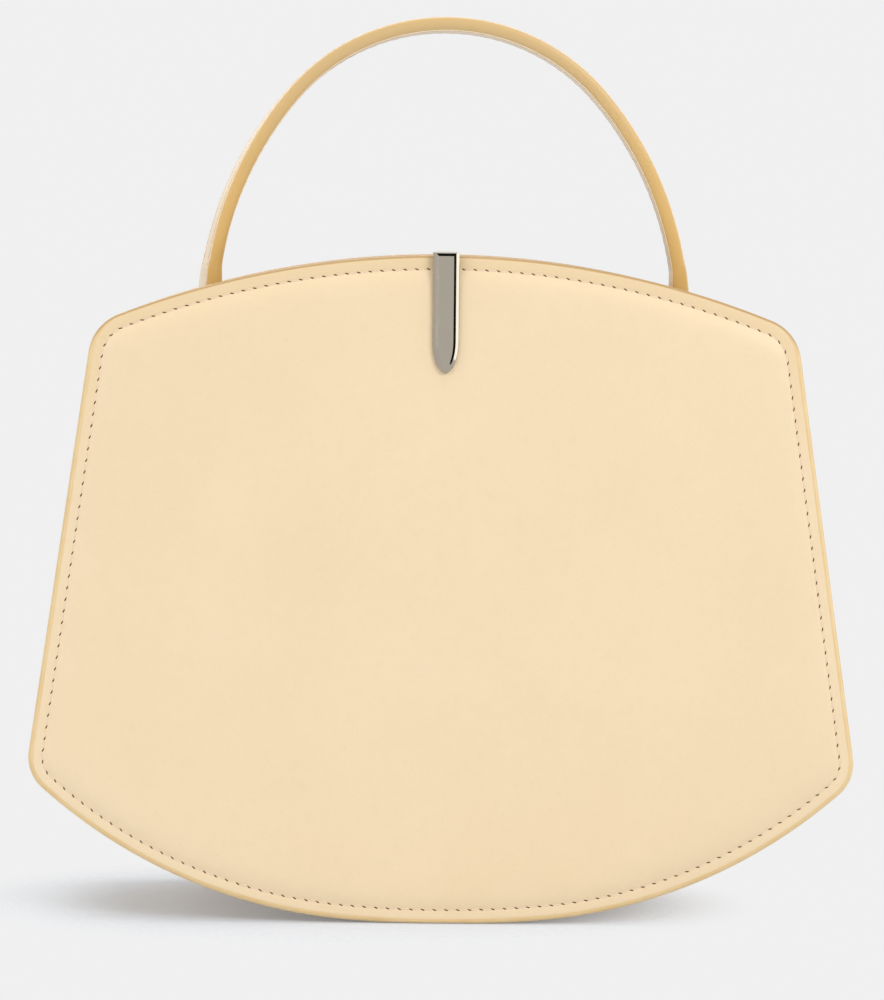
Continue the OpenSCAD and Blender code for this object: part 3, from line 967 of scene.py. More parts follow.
def make_seam(name: str, sewn: tuple[Work, Work], finishes: Finishes, slot: str, body: str,
              slit_shade: Material | None = None) -> None:
    """Makes a seam's thread, and the dark beads that paint the shade in each slit.

    Args:
        name: the start of their names.
        sewn: the thread, and the beads of painted shade in each slit.
        finishes: the bag's finishes.
        slot: the record's material slot.
        body: the body that they ride.
        slit_shade: the finish of the painted shade in each slit, where it isn't the usual one.
    """
    for part, work, finish in zip(("thread", "slits"), sewn, (finishes.thread, slit_shade or finishes.slit_shade)):
        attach(work.make(f"{name}_{part}", finish, slot), body)


# The bag's pieces


@dataclass(frozen=True)
class Panel:
    """A padded front or back panel: leather, painted edge, lining and seams."""

    form: BagForm
    finishes: Finishes
    side: Side
    seam_inset: float = 4.2
    seam_depths: tuple[float, float] = (0.13, 3.5)
    wrap: float = 0.46
    wrap_facing: tuple[float, float] = (0.35, 0.85)
    wrap_insets: tuple[float, float] = (1.3, 2.6)
    crown: float = 0.75
    crown_from: float = 0.15
    heart: float = 92.0
    heart_shares: tuple[float, ...] = (0.08, 0.18, 0.3, 0.42, 0.54, 0.66, 0.77, 0.87, 0.95)
    border: Profile = (
        (1.0, 1.15), (1.0, 0.6), (1.25, 0.22), (1.5, 0.075), (1.85, 0.02), (2.4, 0.0), (3.4, 0.0),
        (3.8, 0.03), (4.05, 0.11), (4.2, 0.135), (4.4, 0.4),
    )
    skin: Profile = (
        (4.0, 0.5), (4.12, 0.16), (4.25, 0.13), (4.5, 0.05), (4.8, -0.11), (5.3, -0.34), (6.1, -0.61),
        (7.1, -0.86), (8.4, -1.05), (10.2, -1.19), (12.7, -1.28), (16.0, -1.33), (21.0, -1.36),
    )
    paint: Profile = (
        (1.50, 0.045), (1.32, 0.075), (1.05, 0.15), (0.78, 0.27), (0.50, 0.48), (0.24, 0.82),
        (0.07, 1.25), (0.0, 1.75), (0.0, 2.3), (0.07, 2.75), (0.23, 3.15), (0.5, 3.44),
        (0.85, 3.61), (1.2, 3.66), (1.5, 3.5), (1.75, 2.9), (1.8, 1.6), (1.7, 0.7),
    )
    cover: Profile = (
        (0.9, 2.9), (0.9, 3.45), (1.15, 3.58), (1.6, 3.6), (3.4, 3.6), (3.75, 3.52), (4.05, 3.52),
        (4.4, 3.59), (5.0, 3.6), (9.0, 3.6), (20.0, 3.6),
    )

    def place(self, ring: Points) -> Points:
        """Places a ring of this panel, with no point below the ground it stands on.

        Args:
            ring: points of across, depth and up.

        Returns:
            The placed points.
        """
        placed = self.form.on_panel(ring, self.side)
        placed[:, 2] = np.maximum(placed[:, 2], 0.0)
        return placed

    def outline(self, inset: float) -> Points:
        """The outline, further out along the top, where the leather wraps the edge.

        Args:
            inset: distance inside the panel's edge.

        Returns:
            The closed loop, as points of across and up.
        """
        facing = (self.form.loop(0.0) - self.form.loop(1.0))[:, 1:]
        top = np.interp(facing, self.wrap_facing, (0, 1)) * np.interp(inset, self.wrap_insets, (1, 0))
        return self.form.loop(inset * (1 - self.wrap)) * top + self.form.loop(inset) * (1 - top)

    def rings(self, profile: Profile, bulge: float) -> list[Points]:
        """Rings round the panel, and then smaller ones over its middle.

        Args:
            profile: insets from the edge and depths.
            bulge: how far the very middle rises over the last depth.

        Returns:
            The rings, placed.
        """
        made = [with_depth(self.outline(inset), depth) for inset, depth in profile]
        last, depth = made[-1], profile[-1][1]
        heart = np.array([0.0, depth, self.heart])
        for share in self.heart_shares:
            ring = last + (heart - last) * share
            rise = max(0.0, (share - self.crown_from) / (1 - self.crown_from))
            ring[:, 1] = depth - bulge * (1 - (1 - rise) ** 2)
            made.append(ring)
        return [self.place(r) for r in made]

    def make(self) -> None:
        """Makes the panel's pieces."""
        name, body = self.side.value, self.side.value + "_panel"
        leather = Work().loft(self.rings(self.skin, self.crown)).make(
            name + "_padded_leather", self.finishes.calf, "panel_leather")
        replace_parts(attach(leather, body), name + "_leather", name + "_foam")
        for part, profile, finish in (
            ("sewn_border", self.border, self.finishes.border_calf),
            ("painted_edge", self.paint, self.finishes.paint),
        ):
            rings = [self.place(with_depth(self.outline(inset), depth)) for inset, depth in profile]
            strip = Work().loft(rings, wrap=True)
            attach(strip.make(f"{name}_{part}", finish, "panel_leather"), body)
        lining = Work().loft(self.rings(self.cover, 0.0)).make(
            name + "_suede_lining", self.finishes.lining, "lining")
        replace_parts(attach(lining, body), name + "_lining")
        tip, foot = self.form.on_panel([[0.0, 1.0, 0.0], [0.0, 0.0, 0.0]], self.side)
        for where, depth, out in zip(("seam", "lining_seam"), self.seam_depths, (-1.0, 1.0)):
            path = self.place(with_depth(self.form.loop(self.seam_inset), depth))
            sewn = Seam().sew(path, (tip - foot) * out, closed=True)
            make_seam(f"{name}_{where}", sewn, self.finishes, "panel_leather", body)


@dataclass(frozen=True)
class Gussets:
    """The folding sides and the base between a panel and the centre panel."""

    form: BagForm
    finishes: Finishes
    side: Side
    thickness: float = 1.4
    wall_inset: float = 7.5
    flange_inset: float = 1.0
    rim_inset: float = 3.8
    lip: float = 0.3
    slack: float = 0.25
    bends: tuple[float, float, float] = (2.2, 3.2, 2.2)
    flange_seam: float = 3.9
    rim_seam: float = 5.6
    fold_from_z: float = 15.0
    blend_depths: tuple[float, float] = (19.0, 6.5)
    blend_z: float = 100.0
    inset_grid: int = 28

    def section(self, k: int, half: Points) -> Points:
        """Section of the gusset at a point of the outline, placed.

        Args:
            k: the point's number on the right half, below zero for the left half.
            half: outline halves for every whole inset, by inset and point.

        Returns:
            The section's closed ring.
        """
        form, t = self.form, self.thickness
        mirror = np.array([-1.0 if k < 0 else 1.0, 1.0])
        edge = half[:, abs(k)] * mirror
        insets = np.arange(self.inset_grid)
        up_at = np.interp(self.wall_inset, insets, edge[:, 1])
        bay, start = form.bay(up_at), form.bay(self.fold_from_z)
        fold = math.sqrt(max(0.0, (start / 2) ** 2 - (bay / 2) ** 2)) + self.slack
        wall = self.wall_inset + t / 2
        path = rounded_path([
            np.array([t / 2, self.flange_inset + t * self.lip]), np.array([t / 2, wall]),
            np.array([bay / 2, wall + fold]), np.array([bay - t / 2, wall]),
            np.array([bay - t / 2, self.rim_inset + t * self.lip]),
        ], self.bends)
        ring = thickened(path, t)
        flat = np.stack([np.interp(ring[:, 1], insets, edge[:, j]) for j in (0, 1)], axis=1)
        share = ring[:, :1] / bay
        outer = form.on_panel(with_depth(flat, form.panel_t + form.soft_gap))
        inner = form.on_centre(with_depth(flat, -form.centre_t / 2))
        return self.side.world(outer * (1 - share) + inner * share)

    def make(self) -> None:
        """Makes the gussets, the base and their seams."""
        form, name, panel = self.form, self.side.value, self.side.value + "_panel"
        half = np.array([form.half(i) for i in range(self.inset_grid)])
        low = sum(form.steps[:3])
        high = low + form.steps[3]
        right, left = range(low, high + 1), range(-high, -low + 1)
        if self.side is Side.BACK:
            right, left = left, right
        guide = [[0.0, depth, self.blend_z] for depth in self.blend_depths]
        guide = form.on_panel(guide, self.side) * MM
        bottom = range(-low, low + 1)
        for part, stations in (("gusset_right", right), ("gusset_left", left), ("base", bottom)):
            piece = Work().loft([self.section(k, half) for k in stations]).make(
                f"{name}_{part}_fold", self.finishes.fold_calf, "gusset_leather", sharp=60.0)
            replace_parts(piece, f"{name}_{part}")
            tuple(guide[0])
            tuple(guide[1])
            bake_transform(piece)
        outward = self.side.world(np.array([0.0, 1.0, 0.0]))

        def chain(inset: float, depth: float) -> Points:
            """Path along both sides and the base.

            Args:
                inset: distance inside the bag's outline.
                depth: where it lies.

            Returns:
                Points of across, depth and up.
            """
            edge = form.half(inset)
            around = range(-high, high + 1)
            flat = np.array([edge[abs(k)] * [-1.0 if k < 0 else 1.0, 1.0] for k in around])
            return with_depth(flat, depth)

        path = chain(self.flange_seam, form.panel_t + form.soft_gap + self.thickness)
        sewn = Seam().sew(form.on_panel(path, self.side), outward, closed=False)
        make_seam(f"{name}_flange", sewn, self.finishes, "gusset_leather", panel)
        path = chain(self.rim_seam, -form.centre_t / 2 - self.thickness)
        sewn = Seam().sew(self.side.world(form.on_centre(path)), -outward, closed=False)
        make_seam(f"{name}_rim", sewn, self.finishes, "gusset_leather", "body")


@dataclass(frozen=True)
class HandlePath:
    """The middle line of the arched strap, in millimetres."""

    top_z: float = 265.0
    strap_t: float = 4.0
    crown_r: float = 62.5
    crown_half: float = 49.0
    leg_r: float = 104.0
    leg_end: float = 80.0
    bend_r: float = 20.0
    bend_share: float = 0.33
    foot_end_z: float = 180.0
    foot_ease: float = 1.2
    steps: tuple[int, int, int, int] = (40, 28, 10, 8)

    def half(self) -> tuple[Points, Points, Points]:
        """Right half of the arch, from the top down.

        Returns:
            Its places, its outward normals, and the foot's share at each.
        """
        crown_c = np.array([0.0, self.top_z - self.crown_r])
        crown, leg = self.crown_r - self.strap_t / 2, self.leg_r - self.strap_t / 2

        def out(angle: float) -> Points:
            """Unit vector at an angle from straight up, to the right."""
            return direction(90 - angle)

        crown_steps, leg_steps, bend_steps, foot_steps = self.steps
        leg_c = crown_c - (leg - crown) * out(self.crown_half)
        bend_c = leg_c + (leg - self.bend_r) * out(self.leg_end)
        places, normals, feet = [], [], []
        for centre, radius, start, end, steps in (
            (crown_c, crown, 0.0, self.crown_half, crown_steps),
            (leg_c, leg, self.crown_half, self.leg_end, leg_steps),
            (bend_c, self.bend_r, self.leg_end, 90.0, bend_steps),
        ):
            for k in range(0 if not places else 1, steps + 1):
                angle = start + (end - start) * k / steps
                places.append(centre + radius * out(angle))
                normals.append(out(angle))
                feet.append(self.bend_share * k / steps if centre is bend_c else 0.0)
        foot_x, foot_z = places[-1]
        for k in range(1, foot_steps + 1):
            places.append(np.array([foot_x, foot_z + (self.foot_end_z - foot_z) * k / foot_steps]))
            normals.append(np.array([1.0, 0.0]))
            feet.append(self.bend_share + (1 - self.bend_share) * (k / foot_steps) ** self.foot_ease)
        return np.array(places), np.array(normals), np.array(feet)


@dataclass(frozen=True)
class Handle:
    """The arched strap: two leathers, painted edges and two rows of stitches on each face."""

    finishes: Finishes
    path: HandlePath = HandlePath()
    width: float = 15.0
    flare: float = 1.8
    dome: float = 0.95
    dome_steps: int = 10
    paint_w: float = 1.4
    paint_lap: float = 0.35
    face_margin: float = 0.55
    face_steps: int = 17
    crown: float = 0.14
    glue: float = 0.02
    seam_inset: float = 2.3
    seam_lift: float = 0.07
    seam_ends: int = 8
    twist_at: tuple[float, ...] = (0.0, 0.3, 0.66, 0.8, 0.95, 1.0)
    left_twist: tuple[float, ...] = (-1.0, 1.0, 6.5, 8.0, 10.5, 8.0)
    right_twist: tuple[float, ...] = (-1.0, -0.5, 0.0, 0.5, 0.0, 0.0)

    def rings(self, section: Points) -> list[Points]:
        """Sections along the whole arch, from the left foot over the crown to the right foot.

        Args:
            section: closed ring of across the strap's width, from the front, and outward.

        Returns:
            The placed rings.
        """
        places, normals, feet = self.path.half()
        run = np.concatenate([[0.0], np.cumsum(np.linalg.norm(np.diff(places, axis=0), axis=1))])
        half_t = self.path.strap_t / 2
        halves = []
        for twist in (self.left_twist, self.right_twist):
            made = []
            turn = np.radians(np.interp(run / run[-1], self.twist_at, twist))
            for place, normal, foot, angle in zip(places, normals, feet, turn):
                y = section[:, 0] * math.cos(angle) - section[:, 1] * math.sin(angle)
                o = section[:, 1] * math.cos(angle) + section[:, 0] * math.sin(angle)
                o = o + foot * self.flare * np.clip(section[:, 1] / half_t, 0.0, 1.0)
                made.append(np.stack([place[0] + normal[0] * o, y, place[1] + normal[1] * o], axis=1))
            halves.append(made)
        left, right = halves
        return [ring * [-1.0, 1.0, 1.0] for ring in left[:0:-1]] + right

    def face_section(self, out: float) -> Points:
        """Section of one of the strap's leathers.

        Args:
            out: 1 for the outer leather, -1 for the inner.

        Returns:
            The closed ring, of across and outward.
        """
        half_w, half_t = self.width / 2, self.path.strap_t / 2
        y = np.linspace(-half_w + self.face_margin, half_w - self.face_margin, self.face_steps)
        crown = self.crown * (1 - (2 * y / self.width) ** 2)
        top = np.stack([y, out * (half_t - self.glue + crown)], axis=1)
        low = np.stack([y[::-1], np.full(len(y), out * self.glue)], axis=1)
        return np.vstack([top, low])

    def edge_section(self, out: float) -> Points:
        """Section of one of the strap's painted edges.

        Args:
            out: -1 for the front edge, 1 for the back.

        Returns:
            The closed ring, of across and outward.
        """
        half_w, half_t, dome = self.width / 2, self.path.strap_t / 2, self.dome
        turns = map(direction, np.linspace(90, 5, self.dome_steps))
        high = [np.array([half_w - dome * (1 - c), half_t * k]) for c, k in turns]
        low = [p * [1.0, -1.0] for p in high[::-1]]
        inner, lap = half_w - self.paint_w, half_t - self.paint_lap
        back = [np.array([inner, -lap]), np.array([inner, lap])]
        return np.array(high + low + back) * [out, 1.0]

    def make(self) -> None:
        """Makes the strap."""
        for out, name in ((1.0, "outer"), (-1.0, "inner")):
            leather = Work().loft(self.rings(self.face_section(out))).make(
                f"handle_{name}_strap", self.finishes.handle_calf_painted_light, "handle_leather")
            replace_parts(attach(leather, "handle"), f"handle_{name}_leather")
        for out, name in ((-1.0, "front"), (1.0, "back")):
            edge = Work().loft(self.rings(self.edge_section(out))).make(
                f"handle_{name}_painted_edge", self.finishes.strap_paint, "handle_leather")
            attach(edge, "handle")
        threads, slits = Work(), Work()
        row, lift = self.width / 2 - self.seam_inset, self.path.strap_t / 2 + self.seam_lift
        # The slit beads of this seam are painted shade in a lighter brown.
        seam = Seam(slant=-24.0, slit=(0.9, 0.26, 0.08), thread=(2.7, 0.42, 0.26))
        for y in (-row, row):
            for out in (1.0, -1.0):
                rings = self.rings(np.array([[y, out * lift], [y, out * lift + out]]))
                rings = rings[self.seam_ends:-self.seam_ends]
                line = np.array([r[0] for r in rings])
                up = np.array([r[1] - r[0] for r in rings])
                for work, made in zip((threads, slits), seam.sew(line, up, closed=False)):
                    work.add(np.vstack(made.points), made.faces)
        make_seam("handle_seam", (threads, slits), self.finishes, "handle_leather", "handle",
                  self.finishes.strap_slit_shade)


@dataclass(frozen=True)
class CentrePanel:
    """The upright middle wall that carries the handle, with its slots and rivets."""

    form: BagForm
    finishes: Finishes
    inset: float = 3.0
    drop: float = 6.0
    skin_t: float = 1.2
    notch: tuple[float, float, float] = (67.134, 73.234, 164.5)
    top_steps: tuple[int, int] = (10, 28)
    wall_bevel: float = 0.3
    edge: Profile = (
        (0.12, -0.95), (-0.02, -0.7), (-0.06, -0.3), (-0.06, 0.3), (-0.02, 0.7), (0.12, 0.95),
        (0.9, 0.8), (0.9, -0.8),
    )
    rivet_d: float = 6.0
    rivet_places: Profile = ((62.934, 147.0), (78.934, 147.0))
    rivet_head: Profile = (
        (0.96, -0.1), (1.0, 0.05), (0.97, 0.22), (0.86, 0.42), (0.66, 0.6), (0.4, 0.72), (0.12, 0.78),
    )

    def outline(self, inset: float, grow: float) -> Points:
        """The panel's outline with the slots for the handle's feet.

        Args:
            inset: distance inside the bag's outline.
            grow: how much larger the slots are cut.

        Returns:
            The closed loop.
        """
        half = self.form.half(inset, self.drop)
        near, far, floor = self.notch[0] - grow, self.notch[1] + grow, self.notch[2] - grow
        start = sum(self.form.steps[:5])
        edge, top = half[:start], half[start:]

        def along_top(first: float, last: float, count: int) -> Points:
            """Points of the top edge between two places across."""
            across = np.linspace(first, last, count)
            return np.stack([across, np.interp(across, top[::-1, 0], top[::-1, 1])], axis=1)

        outer, inner = self.top_steps
        half = np.vstack([edge, along_top(top[0, 0], far, outer), [[far, floor], [near, floor]],
                          along_top(near, 0.0, inner)])
        return mirrored(half)

    def make(self) -> None:
        """Makes the centre panel's pieces."""
        place = self.form.on_centre
        outer = self.form.centre_t / 2
        loop = self.outline(self.inset, 0.0)
        for name, low in (("front", -outer), ("back", outer - self.skin_t)):
            rings = [place(with_depth(loop, y)) for y in (low, low + self.skin_t)]
            piece = Work().loft(rings, fans=False).make(
                f"centre_{name}_wall", self.finishes.lining, "gusset_leather", bevel=self.wall_bevel)
            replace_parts(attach(piece, "body"), f"centre_{name}_leather")
        rings = [place(with_depth(self.outline(self.inset + inset, max(inset, 0.0)), depth))
                 for inset, depth in self.edge]
        edge = Work().loft(rings, wrap=True)
        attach(edge.make("centre_painted_edge", self.finishes.paint, "gusset_leather"), "body")
        heads = Work()
        head = [(self.rivet_d / 2 * share, at) for share, at in self.rivet_head]
        for across in (-1.0, 1.0):
            for x, z in self.rivet_places:
                for out in (-1.0, 1.0):
                    heads.turned((across * x, out * outer, z), (0.0, out, 0.0), head)
        piece = heads.make("anchor_rivet_heads", self.finishes.nickel, "inner_steel")
        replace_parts(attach(piece, "body"), "anchor_rivets")


@dataclass(frozen=True)
class SlipPocket:
    """The slip pocket on the centre panel's back, with its folded mouth and its seam."""

    form: BagForm
    finishes: Finishes
    width: float = 104.0
    height: float = 66.0
    low: float = 62.0
    radius: float = 12.0
    least_r: float = 2.0
    steps: tuple[int, int, int] = (12, 8, 16)
    patch: Profile = (
        (0.15, 0.0), (0.0, 0.25), (0.0, 0.75), (0.3, 1.0), (2.4, 1.0), (2.9, 0.92), (3.4, 1.05),
        (8.0, 1.3), (16.0, 1.5), (26.0, 1.6),
    )
    hem: Profile = (
        (0.0, 0.9), (0.0, 1.6), (-0.5, 1.9), (-5.6, 1.95), (-6.0, 1.7), (-6.0, 1.0),
    )
    hem_margin: float = 0.2
    hem_gape: float = 0.5
    hem_steps: int = 30
    seam_pitch: float = 3.2
    seam_inset: float = 2.6
    seam_depth: float = 0.95
    seam_end: float = 6.5

    def loop(self, inset: float, top: float) -> Points:
        """Outline of the pocket.

        Args:
            inset: distance inside its edge.
            top: height of its mouth.

        Returns:
            The closed loop, as points of across and up.
        """
        corner, side, mouth = self.steps
        r = max(self.radius - inset, self.least_r)
        edge = self.width / 2 - inset
        centre = np.array([edge - r, self.low + inset + r])
        half = [np.array([0.0, self.low + inset])] + arc(centre, r, -90.0, 0.0, corner)
        half += [np.array([edge, centre[1] + (top - centre[1]) * k / side]) for k in range(1, side + 1)]
        half += [np.array([edge * (1 - k / mouth), top]) for k in range(1, mouth + 1)]
        return mirrored(np.array(half))

    def make(self) -> None:
        """Makes the pocket's patch, hem and seam."""
        y = self.form.centre_t / 2
        top = self.low + self.height
        rings = [with_depth(self.loop(inset, top - inset), y + depth) for inset, depth in self.patch]
        patch = Work().loft(rings).make("slip_pocket_patch", self.finishes.lining, "lining")
        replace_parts(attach(patch, "body"), "slip_pocket")
        reach = self.width / 2 - self.hem_margin
        x = np.linspace(-reach, reach, self.hem_steps)
        gape = self.hem_gape * (1 - (2 * x / self.width) ** 2)
        hem = np.stack([
            np.stack([x, y + depth + gape, np.full(self.hem_steps, top + offset)], axis=1)
            for offset, depth in self.hem], axis=1)
        strip = Work().loft(list(hem), fans=False)
        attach(strip.make("slip_pocket_hem", self.finishes.calf, "lining"), "body")
        path = with_depth(self.loop(self.seam_inset, top), y + self.seam_depth)
        path = path[path[:, 2] < top - self.seam_end]
        start = int(np.argmax(np.linalg.norm(path - np.roll(path, 1, axis=0), axis=1)))
        sewn = Seam(pitch=self.seam_pitch).sew(
            np.roll(path, -start, axis=0), np.array([0.0, 1.0, 0.0]), closed=False)
        make_seam("slip_pocket", sewn, self.finishes, "lining", "body")


@dataclass(frozen=True)
class Clasp:
    """The swinging clasp and its hinge plate."""

    form: BagForm
    finishes: Finishes
    width: float = 7.8
    bar_w: float = 7.3
    hinge_w: float = 4.2
    tongue_t: float = 1.9
    tip_z: float = 161.165
    end_l: float = 9.5
    bar_z: float = 194.947
    top_z: float = 195.747
    hinge: tuple[float, float] = (24.900, 194.097)
    knuckle_r: float = 1.6
    pin_r: float = 0.75
    facet_angle: float = 7.0
    turned_angle: float = 30.0
    pin_angle: float = 38.0
    tongue_steps: tuple[int, int, int] = (41, 6, 8)
    pin_play: float = 0.05
    pin_end: Profile = ((0.5, -0.12), (0.85, -0.07), (1.0, 0.05))
    rim: Profile = ((0.14, 0.0), (0.03, 0.04), (0.0, 0.14))
    bar_gap: float = 0.3
    bar_play: float = 0.04
    bar_ring: int = 6
    bar_near: tuple[float, float] = (1.0, 6.0)
    bar_far: tuple[float, float] = (1.2, 0.6)
    bar_steps: int = 6
    bar_ease: float = 0.12
    bar_round: Profile = ((0.0, 0.2), (0.06, 0.06))
    prong_at: tuple[float, ...] = (-0.5, 0.6, 1.4, 2.2)
    prong_ease: float = 0.1
    prong_drop: float = 0.002
    prong_round: float = 0.08
    neck_sunk: float = 0.3
    neck_ease: float = 0.1
    neck_l: float = 1.9
    mid_w: float = 1.8
    side_gap: float = 0.15
    swing_gap: float = 0.25
    slot_l: float = 2.4
    magnet: tuple[float, float, float] = (2.36, 1.02, 10.0)
    cut_over: float = 0.5
    screw_ups: tuple[float, float] = (188.0, 174.0)
    screw_seat: float = 0.8
    screw_l: float = 6.5
    screw_shank: Profile = ((0.85, 0.0), (0.9, 0.1), (0.9, 6.6))
    screw_head: Profile = (
        (1.7, -0.02), (1.8, 0.1), (1.78, 0.34), (1.5, 0.62), (1.0, 0.78), (0.3, 0.82),
    )
    screw_slot: tuple[float, float, float, float] = (1.45, 0.2, 0.5, 0.6)
    bevel: tuple[tuple[float, float, float], ...] = (
        (3.0, 0.0, 3.0), (2.2, 0.0, 1.9), (1.76, 0.0, 1.28), (1.68, 0.012, 1.16), (1.0, 0.26, 0.42),
        (0.93, 0.30, 0.34), (0.16, 0.93, 0.04), (0.08, 1.02, 0.0), (0.02, 1.16, 0.0), (0.0, 1.32, 0.0),
        (0.0, 1.75, 0.0), (0.04, 1.86, 0.02), (0.15, 1.9, 0.1), (1.45, 1.9, 1.4), (3.0, 1.9, 3.0),
    )

    def tongue_ring(self, inset: float, depth: float, top: float) -> Points:
        """Outline of the tongue, with its tip at the bottom.

        Args:
            inset: distance inside the tongue's edge.
            depth: where the ring lies.
            top: height of its level end.

        Returns:
            The closed ring, of across, depth and up.
        """
        half = self.width / 2 - inset
        tip, up, over = self.tongue_steps
        turn = np.radians(np.linspace(180, 360, tip))
        curve = np.stack([
            half * np.cos(turn), self.tip_z + self.end_l + (self.end_l - inset) * np.sin(turn)], axis=1)
        right = [[half, curve[-1, 1] + (top - curve[-1, 1]) * k / up] for k in range(1, up + 1)]
        across = [[half - 2 * half * k / over, top] for k in range(1, over + 1)]
        left = [[-half, top + (curve[0, 1] - top) * k / up] for k in range(1, up)]
        return with_depth(np.vstack([curve, right, across, left]), depth)

    def blade(self, depth: float, level: float, side: Side) -> list[Points]:
        """Rings of a tongue-shaped plate, with wide polished bevels, that ends level at the top.

        Args:
            depth: where its outer face lies.
            level: height of its top above the ground.
            side: the panel that it lies on.

        Returns:
            The placed rings, from the outer face to the back.
        """
        cos, sin = self.form.tilt
        rings = []
        for inset, into, drop in self.bevel:
            top = (level + self.form.stand_flat + (depth + into) * sin) / cos - drop
            rings.append(self.form.on_panel(self.tongue_ring(inset, depth + into, top), side))
        return rings

    def polished(self, work: Work, name: str, sharp: float) -> Piece:
        """Makes a piece of the clasp's metal."""
        return work.make(name, self.finishes.nickel, "clasp_metal", sharp)

    def shoulder(self, out: float) -> list[tuple[float, float]]:
        """The bar's rounded upper edge at the right, as points of across and up."""
        return [(out - into, self.top_z - drop) for into, drop in self.bar_round]

    def bar_section(self, half: float, y: float) -> Points:
        """Section of the bar, with eased lower and rounded upper edges.

        Args:
            half: half the bar's width there.
            y: where it lies.

        Returns:
            The closed ring.
        """
        low, ease, soft = self.bar_z, self.bar_ease, self.bar_round[0][1]
        right = [(half - ease, low), (half, low + ease), *self.shoulder(half),
                 (half - soft, self.top_z)]
        return np.array([[x, y, z] for x, z in right + [(-x, z) for x, z in right[::-1]]])

    def prong_section(self, out: float, slot: float, y: float) -> Points:
        """Section of the right prong of the bar's fork.

        Args:
            out: how far out its outer face lies.
            slot: how far out the slot reaches.
            y: where it lies.

        Returns:
            The closed ring.
        """
        low, ease, inner, soft = self.bar_z, self.prong_ease, self.prong_round, self.bar_round[0][1]
        level = self.top_z - self.prong_drop
        return np.array([[x, y, z] for x, z in (
            (out, low + ease), *self.shoulder(out), (out - soft, level), (slot + inner, level),
            (slot, self.top_z - inner), (slot, low + ease / 2), (out - ease, low))])

    def make(self) -> None:
        """Makes the clasp and the hinge plate."""
        front = -self.form.pad_rise - self.form.soft_gap - self.tongue_t
        rings = self.blade(front, self.top_z, Side.FRONT)
        tongue = self.polished(Work().loft(rings), "clasp_tongue", self.facet_angle)
        arm = Work()
        y_end, z_end = self.hinge
        start = float(rings[self.bar_ring][:, 1].max()) + self.bar_gap
        fork = y_end - self.slot_l
        ends = self.bar_w / 2, self.hinge_w / 2 - self.bar_play

        def half_w(y: float) -> float:
            """Half the bar's width at a place."""
            return float(np.interp(y, (start, y_end), ends))

        (first, second), (third, fourth) = self.bar_near, self.bar_far
        middle = np.linspace(start + second, fork - third, self.bar_steps)
        stops = [start, start + first, *middle, fork - fourth, fork]
        arm.loft([self.bar_section(half_w(y), y) for y in stops])
        slot = self.mid_w / 2 + self.side_gap
        ear = self.knuckle(self.hinge_w / 2 - slot)
        for across in (-1.0, 1.0):
            arm.loft([self.prong_section(half_w(fork + at), slot, fork + at) * [across, 1.0, 1.0]
                      for at in self.prong_at])
            arm.turned((across * slot, y_end, z_end), (across, 0.0, 0.0), ear, bored=True)
        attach(self.polished(arm, "clasp_bar", self.turned_angle), "clasp")
        r, deep, up = self.magnet
        cos, sin = self.form.tilt
        back = front + self.tongue_t + self.cut_over
        seat = self.form.on_panel([[0.0, back, self.tip_z + up]])[0]
        cutter = Work().turned(seat, (0.0, -cos, sin), ((r, 0.0), (r, self.cut_over + deep)))
        carve(tongue, self.polished(cutter, "magnet_seat", self.facet_angle), self.facet_angle)
        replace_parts(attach(tongue, "clasp"), "clasp_arm")
        profile = both_ends([(self.pin_r * share, at) for share, at in self.pin_end], self.hinge_w)
        work = Work().turned((-self.hinge_w / 2, y_end, z_end), (1.0, 0.0, 0.0), profile)
        pin = self.polished(work, "clasp_hinge_pin", self.pin_angle)
        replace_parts(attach(pin, "clasp"), "clasp_pin")
        self.make_hinge_plate()
        self.make_screws()

    def knuckle(self, length: float) -> Profile:
        """Profile of a bored knuckle with eased rims."""
        rim = [(self.knuckle_r - into, at) for into, at in self.rim]
        return both_ends([(self.pin_r + self.pin_play, 0.0), *rim], length)

    def make_hinge_plate(self) -> None:
        """Makes the plate on the back panel and its middle knuckle."""
        form = self.form
        y, z = self.hinge
        cos, sin = form.tilt
        up = (z + form.stand_flat - (self.knuckle_r + form.soft_gap) * sin) / cos
        shoulder = up - self.knuckle_r - self.swing_gap
        depth = -form.pad_rise - self.tongue_t
        level = shoulder * cos - form.stand_flat - depth * sin
        plate = Work().loft(self.blade(depth, level, Side.BACK))
        piece = self.polished(plate, "clasp_back_plate", self.facet_angle)
        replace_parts(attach(piece, "back_panel"), "clasp_hinge_plate")
        work = Work()
        neck = []
        w, ease = self.mid_w / 2, self.neck_ease
        face, back = depth + self.neck_sunk, depth + self.tongue_t
        for high in (shoulder - self.neck_l, shoulder, up - self.neck_sunk):
            neck.append(form.on_panel([[x, d, high] for x, d in (
                (-w, face + ease), (-w + ease, face), (w - ease, face), (w, face + ease), (w, back),
                (-w, back))], Side.BACK))
        work.loft(neck)
        work.turned((-w, y, z), (1.0, 0.0, 0.0), self.knuckle(self.mid_w), bored=True)
        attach(self.polished(work, "clasp_middle_knuckle", self.turned_angle), "back_panel")

